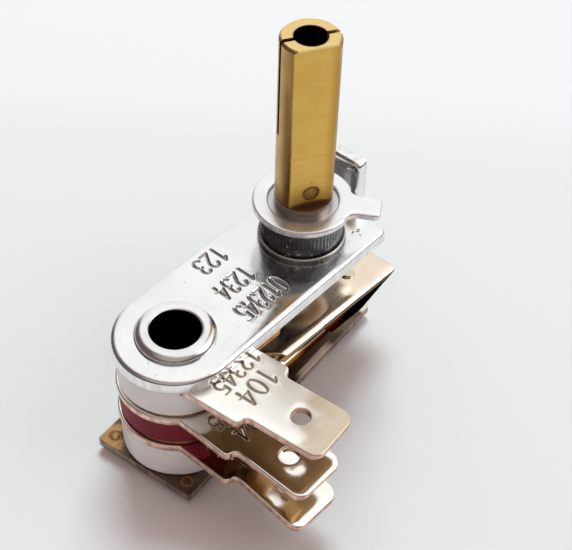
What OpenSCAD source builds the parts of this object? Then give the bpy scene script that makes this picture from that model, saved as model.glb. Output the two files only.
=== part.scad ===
// Bimetal temperature switch with a control spindle and three push-on terminals.
// Lengths are in millimetres and angles in degrees.
// The origin is on the axis of the hollow rivet, at the lowest face of its head.
// +X points from the rivet to the spindle, +Z points up along the spindle, the terminals point to -Y.

/* [Insulating rings] */
// Outer radius of the three rings
ring_r = 6; // [5.4:0.1:7]
// Height of the lower white ring
lower_ring_h = 4.4; // [3.5:0.1:6]
// Height of the red ring
red_ring_h = 3.1; // [2.6:0.1:4]
// Height of the upper white ring
upper_ring_h = 3.95; // [3:0.05:6]
// Rounding of the rings' edges
ring_edge_r = 0.3; // [0.1:0.05:0.5]

/* [Rivet and sleeve] */
// Radius of the fixing bore through the rivet
bore_r = 2.58; // [2.1:0.01:2.8]
// Wall of the rivet's tube
rivet_wall = 0.45; // [0.3:0.05:0.6]
// Outer radius of the rivet's head and of its rolled rim
rim_r = 4.1; // [3.8:0.1:5]
// Height of the rivet's lower head
head_h = 0.76; // [0.5:0.02:1.2]
// Rounding of the head's outer edge
head_edge_r = 0.35; // [0.1:0.05:0.45]
// Wall of the insulating sleeve
sleeve_wall = 0.5; // [0.3:0.05:0.6]
// Radial gap between pieces that sit inside each other
nest_gap = 0.05; // [0.02:0.01:0.1]

/* [Bracket plate] */
// Thickness of the plate
plate_t = 1.5; // [1:0.1:2]
// Width of the plate
plate_w = 12.8; // [12:0.1:16]
// Far end of the plate, from the rivet's axis
plate_end_x = 25.7; // [25.4:0.1:28]
// Rounding of the plate's upper edges
plate_edge_r = 0.5; // [0.1:0.05:0.8]
// Rounding of the plate's far corners
plate_corner_r = 0.7; // [0.3:0.1:2]
// Spindle side face of the fold-up stop tab, from the rivet's axis
stop_face_x = 26.9; // [26.8:0.1:27.2]
// Right edge of the stop tab
stop_right_y = -1.2; // [-2:0.1:-0.6]
// Width of the stop tab
stop_w = 5.6; // [4.8:0.1:6.6]
// Height of the stop tab above the plate
stop_h = 4.9; // [4.8:0.1:7]
// Inner bend radius of the fold
fold_r = 0.6; // [0.3:0.05:0.7]
// Rounding of the stop tab's upper corners
stop_corner_r = 0.9; // [0.3:0.1:1.5]

/* [Spindle] */
// Distance of the spindle's axis from the rivet's axis
spindle_x = 19.1; // [18.9:0.1:19.4]
// Radius of the D-shaped shaft
shaft_r = 3; // [2.8:0.05:3.2]
// Distance of the flat from the spindle's axis
flat_d = 2; // [1.9:0.05:2.5]
// Lower end of the flat above the stop washer
flat_above = 0.7; // [0.3:0.1:1.2]
// Direction of the shaft's slit, parallel to the flat
slit_dir = -30; // [-90:0.5:90]
// Top of the shaft above the plate
shaft_top = 25.2; // [18:0.1:40]
// Radius of the bore through the spindle
spindle_bore_r = 1.62; // [1.4:0.01:1.7]
// Width of the slit
slit_w = 0.5; // [0.3:0.05:0.8]
// Depth of the slit
slit_h = 11; // [5:0.5:13]
// Chamfer of the shaft's top
shaft_chamfer = 0.25; // [0.1:0.05:0.4]
// Radius of the threaded foot of the spindle
foot_r = 3.65; // [3.5:0.05:3.8]
// Length of the foot that shows under the plate
foot_below = 1; // [0.6:0.1:2]
// Radius of the round mark on the flat
mark_r = 0.85; // [0.4:0.05:1]
// Depth of the round mark
mark_depth = 0.12; // [0.05:0.01:0.25]
// Height of the mark above the stop washer
mark_above = 2.3; // [2.2:0.1:4]
// Radial gap between the screw or pin and the spindle's bore
bore_gap = 0.06; // [0.02:0.01:0.1]
// Length of the calibration screw
screw_h = 5; // [3:0.5:8]
// Screwdriver slot of the calibration screw, width
screw_slot_w = 0.6; // [0.4:0.05:0.9]
// Screwdriver slot of the calibration screw, depth
screw_slot_h = 0.9; // [0.5:0.1:1.5]

/* [Bushing and stop washer] */
// Radius of the bushing's collar
bushing_r = 4.3; // [4.2:0.05:4.45]
// Height of the bushing above the plate
bushing_h = 3.55; // [2:0.05:3.6]
// Radius of the bushing's base flange
bushing_base_r = 4.65; // [4.5:0.05:5.2]
// Height of the base flange
bushing_base_h = 0.55; // [0.4:0.05:1.2]
// Radius of the bushing inside the plate
bushing_neck_r = 4.1; // [4:0.05:4.25]
// Thickness of the staked lip under the plate
bushing_lip_h = 0.5; // [0.3:0.05:0.8]
// Radial running gap of the spindle in the bushing
run_gap = 0.05; // [0.02:0.01:0.1]
// Outer radius of the stop washer
washer_r = 5.3; // [5:0.05:5.5]
// Thickness of the stop washer
washer_t = 0.7; // [0.6:0.05:1.2]
// Underside of the stop washer above the plate
washer_z = 4.3; // [4.25:0.05:4.6]
// Rounding of the washer's edges
washer_edge_r = 0.2; // [0.05:0.05:0.25]
// Depth of the recess round the shaft inside the washer
washer_recess = 0.35; // [0.2:0.05:0.5]
// Width of the washer's stop nose
nose_w = 2.85; // [2:0.05:3]
// Reach of the stop nose from the spindle's axis
nose_reach = 8.1; // [8:0.05:8.5]
// Rounding of the nose's corners
nose_corner_r = 0.6; // [0.2:0.05:0.9]
// Fillet where the nose leaves the washer
nose_fillet_r = 1.3; // [0.5:0.1:2]
// Direction of the nose
nose_dir = -58; // [-65:1:-45]

/* [Terminals] */
// Thickness of the terminals
terminal_t = 0.8; // [0.5:0.05:1]
// How far the terminal rings stand out from the insulating rings
terminal_proud = 0.22; // [0.1:0.02:0.4]
// Width of the terminals' necks
neck_w = 8.6; // [8:0.1:10]
// End of the neck, from the rivet's axis
neck_end = 10.3; // [9.4:0.1:11]
// Radius of each of the two arcs of the shoulder
shoulder_r = 0.575; // [0.4:0.025:0.8]
// End of the tab, from the rivet's axis
tab_end = 19.2; // [18:0.1:22]
// Rounding of the tab's corners
tab_corner_r = 1.2; // [0.5:0.1:2]
// Radius of the hole in the tab
tab_hole_r = 1; // [0.7:0.05:1.2]
// Place of the hole, from the rivet's axis
tab_hole_at = 15.05; // [14.5:0.05:16]
// Length of the bevel at the tab's tip
tip_bevel = 0.8; // [0.4:0.1:1]
// Depth of that bevel on each face
tip_bevel_t = 0.15; // [0.05:0.05:0.2]
// Turn of the upper terminal about the rivet
upper_yaw = 5; // [0:0.5:8]
// Turn of the middle terminal about the rivet
middle_yaw = -0.8; // [-3:0.1:3]
// Turn of the lower terminal about the rivet
lower_yaw = -1.2; // [-3:0.1:3]
// Bend of the middle terminal, down
middle_bend = 2; // [0:0.5:5]
// Bend of the lower terminal, down
lower_bend = 10; // [0:0.5:12]
// Place of the middle terminal's bend, from the rivet's axis
middle_bend_at = 7.5; // [7.2:0.1:9]
// Place of the lower terminal's bend, from the rivet's axis
lower_bend_at = 11.6; // [9:0.1:12.5]
// Gap round the upper terminal in its groove
groove_gap = 0.1; // [0.05:0.05:0.3]

/* [Contact arms] */
// Thickness of the two leaf springs
leaf_t = 0.3; // [0.2:0.05:0.4]
// How far the leaves' rings stay inside the insulating rings
leaf_inset = 0.25; // [0.1:0.05:0.5]
// Width of the leaves' tongues
tongue_w = 8; // [6:0.5:9]
// Length of the tongues past their bending line
tongue_l = 4.4; // [3:0.1:6]
// Bending line of the leaves, past the edge of the rings
flex_out = 1; // [0.7:0.1:1.5]
// Downward slope of the upper contact arm
arm_slope = 3.8; // [3:0.1:4.2]
// Thickness of the contact arms
arm_t = 0.45; // [0.3:0.05:0.6]
// Gap between a leaf and the arm under it
weld_gap = 0.05; // [0.04:0.01:0.1]
// Gap between a ceramic pin and the arm that it carries
touch_gap = 0.05; // [0.04:0.01:0.1]
// Half the width of the upper arm
upper_arm_half_w = 6.75; // [6.3:0.05:7.2]
// Length of the upper arm past the bending line
upper_arm_l = 20.9; // [19.5:0.1:22]
// Depth of the upper arm's turned-down sides
upper_side_h = 2.2; // [1.6:0.1:2.6]
// Outer bend radius of the upper arm's sides
upper_side_r = 0.85; // [0.65:0.05:1]
// Start of the upper arm's sides past the bending line
upper_side_from = 8.2; // [6:0.1:11]
// Length of the flat lip at the upper arm's end
lip_l = 1.1; // [0.6:0.1:2]
// Half the width of the lower arm
lower_arm_half_w = 5.1; // [4.9:0.05:5.6]
// Length of the lower arm past the bending line
lower_arm_l = 18.4; // [16.5:0.1:19]
// Depth of the lower arm's turned-down sides
lower_side_h = 1.2; // [0.9:0.1:1.6]
// Outer bend radius of the lower arm's sides
lower_side_r = 0.7; // [0.65:0.05:0.85]
// Start of the lower arm's sides past the bending line
lower_side_from = 3; // [2:0.1:8]
// Slant of the sides' ends, along the arm
side_slant = 1.6; // [0.5:0.1:3]
// Slant of the upper arm's sides at its free end
end_slant = 6; // [2:0.1:8]
// Length of the arms' taper next to the stack
arm_taper = 2.4; // [1:0.1:4]

/* [Contacts] */
// Distance of the contacts from the lower arm's end
contact_inset = 2.2; // [1.8:0.1:3]
// Half the distance between the two contacts of a pair
contact_y = 3.3; // [3:0.1:3.6]
// Radius of the contact heads
contact_r = 1.4; // [1:0.05:1.6]
// Height of the contact heads
contact_h = 0.8; // [0.5:0.05:0.85]
// Radius of the contacts' shanks
shank_r = 0.55; // [0.4:0.05:0.7]
// Radius of the riveted ends of the shanks
rivet_end_r = 0.85; // [0.75:0.05:1.2]
// Height of the riveted ends
rivet_end_h = 0.25; // [0.15:0.05:0.4]

/* [Bimetal strip] */
// Thickness of the strip
bimetal_t = 1; // [0.6:0.05:1.4]
// Width of the strip
bimetal_w = 12.2; // [10:0.1:14]
// Near end of the strip, behind the rivet's axis
bimetal_back = 6.1; // [5:0.1:8]
// Far end of the strip, from the rivet's axis
bimetal_front = 27.1; // [25.5:0.1:30]
// Turn of the strip about the rivet
bimetal_yaw = 4.8; // [0:0.2:6]
// Rounding of the strip's corners
bimetal_corner_r = 0.3; // [0.1:0.05:1]
// Distance of the striker pin from the lower arm's end
striker_inset = 3; // [2.4:0.1:5]
// Radius of the striker pin
striker_r = 1.1; // [0.8:0.05:1.3]
// Radius of the striker's foot in the strip
striker_foot_r = 0.8; // [0.6:0.05:1]
// Radius of the striker's collar
striker_collar_r = 1.7; // [1.4:0.05:2]
// Height of the striker's collar
striker_collar_h = 0.9; // [0.5:0.1:1.4]

/* [Hidden] */
$fn = 64;

// Overshoot of cuts past the faces that they open
over = 1;

// Levels of the clamped stack, from the rivet's head upwards
bimetal_z = head_h;
lower_ring_z = bimetal_z + bimetal_t;
lower_terminal_z = lower_ring_z + lower_ring_h;
lower_leaf_z = lower_terminal_z + terminal_t;
red_ring_z = lower_leaf_z + leaf_t;
middle_terminal_z = red_ring_z + red_ring_h;
upper_leaf_z = middle_terminal_z + terminal_t;
upper_ring_z = upper_leaf_z + leaf_t;
plate_z = upper_ring_z + upper_ring_h;
plate_top = plate_z + plate_t;

// Radii of the nested pieces round the rivet
rivet_r = bore_r + rivet_wall;
rivet_hole_r = rivet_r + nest_gap;
sleeve_r = rivet_hole_r + sleeve_wall;
sleeve_hole_r = sleeve_r + nest_gap;
terminal_ring_r = ring_r + terminal_proud;

// Half widths of sheet pieces
plate_half_w = plate_w / 2;
neck_half_w = neck_w / 2;
shoulder_end = neck_end + 2 * shoulder_r;
tab_half_w = neck_half_w - 2 * shoulder_r;

// Bending line of the leaves and place of the arms under them
flex_x = ring_r + flex_out;
arm_drop = leaf_t + weld_gap;
contact_x = flex_x + lower_arm_l - contact_inset;
striker_x = flex_x + lower_arm_l - striker_inset;
upper_contact_u = (contact_x - flex_x + arm_drop * sin(arm_slope)) / cos(arm_slope);
upper_pin_u = (spindle_x - flex_x + arm_drop * sin(arm_slope)) / cos(arm_slope);
pin_seat_z = upper_ring_z - upper_pin_u * sin(arm_slope) - arm_drop * cos(arm_slope);
lower_arm_z = red_ring_z - arm_drop;

// Pieces inside the spindle
pin_r = spindle_bore_r - bore_gap;
pin_centre_z = pin_seat_z + (pin_r + touch_gap) / cos(arm_slope);
washer_top = plate_top + washer_z + washer_t;
collar_top = washer_top - washer_recess;
screw_z = collar_top;

// Square with one rounded outer corner, used as the half section of a turned or extruded piece
module soft_section(width, height, r, both = false) {
    difference() {
        square([width, height]);
        corner_cut(width, height, r);
        if (both) translate([0, height]) mirror([0, 1]) corner_cut(width, height, r);
    }
}

// What a rounding of radius r takes off the outer upper corner of a width by height square
module corner_cut(width, height, r) {
    translate([width - r, height - r]) difference() {
        square(r + over);
        circle(r);
    }
}

// A flat shape and its mirror image across the Y axis
module both_sides() {
    children();
    mirror([1, 0]) children();
}

// Rounded insulating ring round the sleeve
module ring(z, height) {
    translate([0, 0, z]) rotate_extrude() difference() {
        soft_section(ring_r, height, ring_edge_r, both = true);
        square([sleeve_hole_r, height]);
    }
}

// Outline of a terminal: ring or round end, neck, rounded shoulders, tab with its hole
module terminal_outline(head_r) {
    tab_body = tab_end - tab_corner_r;
    difference() {
        union() {
            circle(head_r);
            translate([-neck_half_w, -neck_end]) square([neck_w, neck_end]);
            translate([-tab_half_w, -tab_body]) square([2 * tab_half_w, tab_body]);
            translate([-tab_half_w + tab_corner_r, -tab_end])
                square([2 * (tab_half_w - tab_corner_r), tab_corner_r + over]);
            both_sides() {
                translate([tab_half_w - tab_corner_r, -tab_body]) circle(tab_corner_r);
                shoulder();
            }
        }
        circle(sleeve_hole_r);
        translate([0, -tab_hole_at]) circle(tab_hole_r);
    }
}

// Rounded step from the neck to the tab, on the +X side: a convex arc and then a hollow one
module shoulder() {
    step_x = tab_half_w + shoulder_r;
    translate([step_x, -neck_end]) intersection() {
        circle(shoulder_r);
        translate([0, -shoulder_r]) square(shoulder_r);
    }
    translate([0, -neck_end - shoulder_r]) square([step_x, shoulder_r]);
    translate([tab_half_w, -shoulder_end]) difference() {
        square(shoulder_r);
        translate([shoulder_r, 0]) circle(shoulder_r);
    }
}

// Wedges that bevel both faces at the tip of a tab, for a tab whose top is at z = 0
module tip_bevels(tip) {
    angle = atan2(tip_bevel_t, tip_bevel);
    for (face = [0, 1])
        translate([0, -tip, -face * terminal_t])
            mirror([0, 0, face])
                translate([0, 0, -tip_bevel_t])
                    rotate([angle, 0, 0])
                        translate([-neck_half_w, -over, 0])
                            cube([neck_w, tip_bevel + 2 * over, over]);
}

// Terminal with its tab bent down by an angle at a line across it
module terminal(z, head_r, yaw, bend_at, bend) {
    reach = tab_end + over;
    rotate([0, 0, yaw]) translate([0, 0, z + terminal_t]) {
        translate([0, 0, -terminal_t]) linear_extrude(terminal_t) intersection() {
            terminal_outline(head_r);
            translate([-reach, -bend_at]) square([2 * reach, bend_at + reach]);
        }
        translate([0, -bend_at, 0]) rotate([bend, 0, 0]) difference() {
            translate([0, 0, -terminal_t]) linear_extrude(terminal_t) translate([0, bend_at])
                intersection() {
                    terminal_outline(head_r);
                    translate([-reach, -bend_at - reach]) square([2 * reach, reach]);
                }
            tip_bevels(tab_end - bend_at);
        }
    }
}

// Frame of a contact arm: the bending line is the Y axis, the leaf's top face is z = 0
module arm_frame(z, slope) {
    translate([flex_x, 0, z]) rotate([0, slope, 0]) children();
}

// Leaf spring: a ring in the stack and a tongue that bends at the bending line
module leaf(z, slope) {
    translate([0, 0, z]) difference() {
        union() {
            cylinder(r = ring_r - leaf_inset, h = leaf_t);
            translate([0, tongue_w / 2, 0]) rotate([90, 0, 0]) linear_extrude(tongue_w)
                tongue_side_view(slope);
        }
        translate([0, 0, -over]) cylinder(r = sleeve_hole_r, h = leaf_t + 2 * over);
    }
}

// Side view of a leaf's tongue, from the rivet's axis to its end, with a mitred bend
module tongue_side_view(slope) {
    end_x = flex_x + tongue_l * cos(slope);
    end_z = leaf_t - tongue_l * sin(slope);
    polygon([
        [0, 0],
        [0, leaf_t],
        [flex_x, leaf_t],
        [end_x, end_z],
        [end_x - leaf_t * sin(slope), end_z - leaf_t * cos(slope)],
        [flex_x - leaf_t * tan(slope / 2), 0]
    ]);
}

// Section of a channel arm, across it, with its upper face at y = 0
module channel_section(half_w, side_h, bend_r) {
    flat_half = half_w - bend_r;
    translate([-flat_half, -arm_t]) square([2 * flat_half, arm_t]);
    both_sides() {
        translate([flat_half, -bend_r]) intersection() {
            difference() {
                circle(bend_r);
                circle(bend_r - arm_t);
            }
            square(bend_r);
        }
        translate([half_w - arm_t, -side_h]) square([arm_t, side_h - bend_r]);
    }
}

// Side view of a channel arm: the web over its whole length, the sides with slanted ends up to its free end
module channel_side_view(length, side_h, side_from, slant_out) {
    translate([0, -arm_t]) square([length, arm_t]);
    polygon([
        [side_from, 0],
        [side_from + side_slant, -side_h],
        [length - slant_out, -side_h],
        [length, 0]
    ]);
}

// Top view of a channel arm: tapered next to the stack
module channel_top_view(length, half_w) {
    polygon([
        [0, -tongue_w / 2],
        [arm_taper, -half_w],
        [length, -half_w],
        [length, half_w],
        [arm_taper, half_w],
        [0, tongue_w / 2]
    ]);
}

// Channel arm with its bending line at the origin and holes for the contacts' shanks
module channel_arm(length, half_w, side_h, bend_r, side_from, slant_out, shank_u) {
    translate([0, 0, -arm_drop]) difference() {
        intersection() {
            rotate([90, 0, 90]) linear_extrude(length) channel_section(half_w, side_h, bend_r);
            translate([0, half_w, 0]) rotate([90, 0, 0]) linear_extrude(2 * half_w)
                channel_side_view(length, side_h, side_from, slant_out);
            translate([0, 0, -side_h]) linear_extrude(side_h) channel_top_view(length, half_w);
        }
        for (side = [-1, 1])
            translate([shank_u, side * contact_y, -arm_t - over])
                cylinder(r = shank_r + nest_gap, h = arm_t + 2 * over);
    }
}

// Pair of contact rivets with their heads up, on a web whose upper face is z = 0
module contact_pair() {
    for (side = [-1, 1]) translate([0, side * contact_y, 0]) rotate_extrude() {
        soft_section(contact_r, contact_h, contact_h / 4);
        translate([0, -arm_t - rivet_end_h]) square([shank_r, arm_t + rivet_end_h]);
        translate([0, -arm_t]) mirror([0, 1]) soft_section(rivet_end_r, rivet_end_h, rivet_end_h / 2);
    }
}

// Steel strip with rounded upper edges and the fold-up stop tab
module bracket_plate() color("gainsboro") {
    difference() {
        union() {
            translate([0, 0, plate_z]) {
                rotate([0, 0, 90]) rotate_extrude(angle = 180)
                    soft_section(plate_half_w, plate_t, plate_edge_r);
                intersection() {
                    rotate([90, 0, 90]) linear_extrude(plate_end_x) both_sides()
                        soft_section(plate_half_w, plate_t, plate_edge_r);
                    linear_extrude(plate_t) translate([0, -plate_half_w]) difference() {
                        square([plate_end_x, plate_w]);
                        corner_cut(plate_end_x, plate_w, plate_corner_r);
                        translate([0, plate_w]) mirror([0, 1])
                            corner_cut(plate_end_x, plate_w, plate_corner_r);
                    }
                }
            }
            stop_tab();
        }
        translate([0, 0, plate_z - over]) cylinder(r = rivet_hole_r, h = plate_t + 2 * over);
        translate([spindle_x, 0, plate_z - over])
            cylinder(r = bushing_neck_r + nest_gap, h = plate_t + 2 * over);
    }
}

// Fold-up tab: a foot in line with the plate, a quarter bend and an upright wall
module stop_tab() {
    fold_x = stop_face_x - fold_r;
    foot_l = fold_x - plate_end_x + plate_corner_r;
    wall_h = stop_h - fold_r;
    translate([0, stop_right_y, plate_z]) intersection() {
        translate([0, stop_w, 0]) rotate([90, 0, 0]) linear_extrude(stop_w) {
            translate([fold_x - foot_l, 0]) square([foot_l, plate_t]);
            translate([fold_x, plate_t + fold_r]) {
                intersection() {
                    difference() {
                        circle(fold_r + plate_t);
                        circle(fold_r);
                    }
                    translate([0, -fold_r - plate_t]) square(fold_r + plate_t);
                }
                translate([fold_r, 0]) square([plate_t, wall_h]);
            }
        }
        rotate([90, 0, 90]) linear_extrude(stop_face_x + plate_t) difference() {
            square([stop_w, plate_t + stop_h]);
            corner_cut(stop_w, plate_t + stop_h, stop_corner_r);
            translate([stop_w, 0]) mirror([1, 0]) corner_cut(stop_w, plate_t + stop_h, stop_corner_r);
        }
    }
}

// Turned bushing: collar and base flange over the plate, neck in it, staked lip under it
module spindle_bushing() color("dimgray") {
    lip_r = bushing_neck_r + (bushing_base_r - bushing_neck_r) / 2;
    translate([spindle_x, 0, 0]) rotate_extrude() difference() {
        union() {
            translate([0, plate_top]) {
                soft_section(bushing_r, bushing_h, bushing_lip_h / 2);
                soft_section(bushing_base_r, bushing_base_h, bushing_base_h / 3);
            }
            translate([0, plate_z]) square([bushing_neck_r, plate_t]);
            translate([0, plate_z]) mirror([0, 1]) soft_section(lip_r, bushing_lip_h, bushing_lip_h / 2);
        }
        translate([0, plate_z - bushing_lip_h - over])
            square([foot_r + run_gap, plate_t + bushing_h + bushing_lip_h + 2 * over]);
    }
}

// Brass spindle: threaded foot, D-shaped shaft, bore through it, slit and a round mark on the flat
module spindle() color("darkgoldenrod") {
    foot_z = plate_z - foot_below;
    top_z = plate_top + shaft_top;
    flat_z = washer_top + flat_above;
    translate([spindle_x, 0, 0]) rotate([0, 0, slit_dir]) difference() {
        union() {
            translate([0, 0, foot_z]) cylinder(r = foot_r, h = collar_top - foot_z);
            difference() {
                rotate_extrude() translate([0, collar_top]) difference() {
                    square([shaft_r, top_z - collar_top]);
                    translate([shaft_r, top_z - collar_top]) rotate(45)
                        square(shaft_chamfer * sqrt(2), center = true);
                }
                translate([-shaft_r, -flat_d - shaft_r, flat_z])
                    cube([2 * shaft_r, shaft_r, top_z - flat_z + over]);
            }
        }
        translate([0, 0, foot_z - over]) cylinder(r = spindle_bore_r, h = top_z - foot_z + 2 * over);
        translate([-shaft_r - over, -slit_w / 2, top_z - slit_h])
            cube([2 * (shaft_r + over), slit_w, slit_h + over]);
        translate([0, -flat_d + mark_depth, washer_top + mark_above])
            rotate([90, 0, 0]) cylinder(r = mark_r, h = shaft_r);
    }
}

// Stop washer: a ring with rounded edges and a nose with filleted roots
module stop_washer() color("whitesmoke") {
    hole_r = foot_r + nest_gap / 2;
    fillet_y = nose_w / 2 + nose_fillet_r;
    fillet_x = sqrt(pow(washer_r - washer_edge_r + nose_fillet_r, 2) - pow(fillet_y, 2));
    nose_body = nose_reach - nose_corner_r;
    translate([spindle_x, 0, plate_top + washer_z]) difference() {
        union() {
            rotate_extrude() soft_section(washer_r, washer_t, washer_edge_r, both = true);
            rotate([0, 0, nose_dir]) linear_extrude(washer_t) {
                translate([0, -nose_w / 2]) square([nose_body, nose_w]);
                translate([0, nose_corner_r - nose_w / 2]) square([nose_reach, nose_w - 2 * nose_corner_r]);
                for (side = [-1, 1])
                    translate([nose_body, side * (nose_w / 2 - nose_corner_r)]) circle(nose_corner_r);
                difference() {
                    polygon([[0, 0], [fillet_x, -fillet_y], [fillet_x, fillet_y]]);
                    for (side = [-1, 1]) translate([fillet_x, side * fillet_y]) circle(nose_fillet_r);
                }
            }
        }
        translate([0, 0, -over]) cylinder(r = hole_r, h = washer_t + 2 * over);
    }
}

// Grub screw in the spindle's bore, with a screwdriver slot
module calibration_screw() color("silver") {
    screw_r = spindle_bore_r - bore_gap;
    translate([spindle_x, 0, screw_z]) difference() {
        cylinder(r = screw_r, h = screw_h);
        translate([-spindle_bore_r, -screw_slot_w / 2, screw_h - screw_slot_h])
            cube([2 * spindle_bore_r, screw_slot_w, screw_slot_h + over]);
    }
}

// Ceramic pin from the calibration screw to the upper contact arm, with a ball end
module push_pin() color("ivory") {
    translate([spindle_x, 0, pin_centre_z]) {
        cylinder(r = pin_r, h = screw_z - pin_centre_z);
        sphere(pin_r);
    }
}

// Hollow rivet: flat head below, tube, rolled rim above
module hollow_rivet() color("gainsboro") {
    rim_half = (rim_r - bore_r) / 2;
    rotate_extrude() difference() {
        union() {
            mirror([0, 1]) translate([0, -head_h]) soft_section(rim_r, head_h, head_edge_r);
            square([rivet_r, plate_top]);
            translate([bore_r + rim_half, plate_top]) intersection() {
                circle(rim_half);
                translate([-rim_half, 0]) square([2 * rim_half, rim_half]);
            }
        }
        square([bore_r, plate_top]);
    }
}

// Insulating sleeve round the rivet, from the bimetal strip to the plate
module insulating_sleeve() color("linen") {
    translate([0, 0, lower_ring_z]) rotate_extrude()
        translate([rivet_hole_r, 0]) square([sleeve_wall, plate_z - lower_ring_z]);
}

// Upper white ring, with a groove in its top for the upper terminal
module upper_ceramic_ring() color("white") {
    groove_half_w = neck_half_w + groove_gap;
    difference() {
        ring(upper_ring_z, upper_ring_h);
        rotate([0, 0, upper_yaw]) translate([0, 0, plate_z - terminal_t]) {
            cylinder(r = groove_half_w, h = terminal_t + over);
            translate([-groove_half_w, -ring_r - over, 0])
                cube([2 * groove_half_w, ring_r + over, terminal_t + over]);
        }
    }
}

module red_insulating_ring() color("maroon") ring(red_ring_z, red_ring_h);

module lower_ceramic_ring() color("white") ring(lower_ring_z, lower_ring_h);

module upper_terminal() color("wheat")
    terminal(plate_z - terminal_t, neck_half_w, upper_yaw, neck_end, 0);

module middle_terminal() color("wheat")
    terminal(middle_terminal_z, terminal_ring_r, middle_yaw, middle_bend_at, middle_bend);

module lower_terminal() color("wheat")
    terminal(lower_terminal_z, terminal_ring_r, lower_yaw, lower_bend_at, lower_bend);

module upper_leaf_spring() color("peru") leaf(upper_leaf_z, arm_slope);

module lower_leaf_spring() color("peru") leaf(lower_leaf_z, 0);

// Upper contact arm: a channel with a flat lip at its end, hung under the upper leaf
module upper_contact_arm() color("tan") {
    lip_half_w = upper_arm_half_w - upper_side_r / 4;
    arm_frame(upper_ring_z, arm_slope) {
        channel_arm(upper_arm_l, upper_arm_half_w, upper_side_h, upper_side_r,
            upper_side_from, end_slant, upper_contact_u);
        translate([upper_arm_l - lip_l, -lip_half_w, -arm_drop - arm_t])
            cube([lip_l, 2 * lip_half_w, arm_t]);
    }
}

module upper_contacts() color("silver")
    arm_frame(upper_ring_z, arm_slope) translate([upper_contact_u, 0, -arm_drop - arm_t])
        mirror([0, 0, 1]) contact_pair();

module lower_contact_arm() color("tan")
    arm_frame(red_ring_z, 0)
        channel_arm(lower_arm_l, lower_arm_half_w, lower_side_h, lower_side_r,
            lower_side_from, side_slant, contact_x - flex_x);

module lower_contacts() color("silver")
    translate([contact_x, 0, lower_arm_z]) contact_pair();

// Bimetal strip, turned a little about the rivet, with a hole for the striker's foot
module bimetal_strip() color("saddlebrown") {
    length = bimetal_back + bimetal_front;
    translate([0, 0, bimetal_z]) difference() {
        rotate([0, 0, bimetal_yaw]) translate([-bimetal_back, -bimetal_w / 2, 0])
            linear_extrude(bimetal_t) difference() {
                square([length, bimetal_w]);
                for (flip_x = [0, 1], flip_y = [0, 1])
                    translate([flip_x * length, flip_y * bimetal_w])
                        mirror([flip_x, 0]) mirror([0, flip_y])
                            corner_cut(length, bimetal_w, bimetal_corner_r);
            }
        translate([0, 0, -over]) cylinder(r = rivet_hole_r, h = bimetal_t + 2 * over);
        translate([striker_x, 0, -over])
            cylinder(r = striker_foot_r + nest_gap, h = bimetal_t + 2 * over);
    }
}

// Ceramic striker: foot in the strip, collar on it, pin up to the lower contact arm
module striker_pin() color("ivory") {
    pin_h = lower_arm_z - arm_t - touch_gap - lower_ring_z;
    translate([striker_x, 0, lower_ring_z]) rotate_extrude() {
        translate([0, -bimetal_t]) square([striker_foot_r, bimetal_t]);
        soft_section(striker_collar_r, striker_collar_h, striker_collar_h / 3);
        soft_section(striker_r, pin_h, striker_r / 2);
    }
}

bracket_plate();
spindle_bushing();
spindle();
stop_washer();
calibration_screw();
push_pin();
hollow_rivet();
insulating_sleeve();
upper_ceramic_ring();
red_insulating_ring();
lower_ceramic_ring();
upper_terminal();
middle_terminal();
lower_terminal();
upper_leaf_spring();
upper_contact_arm();
upper_contacts();
lower_leaf_spring();
lower_contact_arm();
lower_contacts();
bimetal_strip();
striker_pin();
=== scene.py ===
"""Bimetal temperature switch with a brass control spindle: its looks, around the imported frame.

Lengths are millimetres in the frame's own axes and become metres where a mesh is made.
Angles are degrees.
"""
import math

import bmesh
import bpy
import numpy as np
from mathutils import Matrix, Vector
from mathutils.geometry import delaunay_2d_cdt


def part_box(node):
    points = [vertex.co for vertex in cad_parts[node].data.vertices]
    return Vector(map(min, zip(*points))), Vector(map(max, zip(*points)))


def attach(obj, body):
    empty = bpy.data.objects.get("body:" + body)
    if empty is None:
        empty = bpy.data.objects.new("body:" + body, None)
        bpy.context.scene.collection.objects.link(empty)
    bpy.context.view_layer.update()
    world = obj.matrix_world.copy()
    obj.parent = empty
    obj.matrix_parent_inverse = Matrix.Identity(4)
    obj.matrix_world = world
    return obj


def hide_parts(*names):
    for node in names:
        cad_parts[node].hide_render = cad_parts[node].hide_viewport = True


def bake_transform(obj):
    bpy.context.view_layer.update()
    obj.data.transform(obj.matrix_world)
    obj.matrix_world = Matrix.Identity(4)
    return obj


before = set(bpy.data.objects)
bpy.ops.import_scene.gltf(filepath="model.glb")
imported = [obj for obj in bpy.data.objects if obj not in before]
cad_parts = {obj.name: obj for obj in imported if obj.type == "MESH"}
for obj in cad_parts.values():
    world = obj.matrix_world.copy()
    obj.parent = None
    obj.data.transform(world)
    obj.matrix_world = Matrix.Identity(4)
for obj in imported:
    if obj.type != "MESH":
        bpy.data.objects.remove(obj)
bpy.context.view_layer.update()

MM = 0.001


def span(node):
    """Lowest and highest corner of a CAD node, in millimetres."""
    low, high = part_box(node)
    return np.array(low) / MM, np.array(high) / MM


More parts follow.
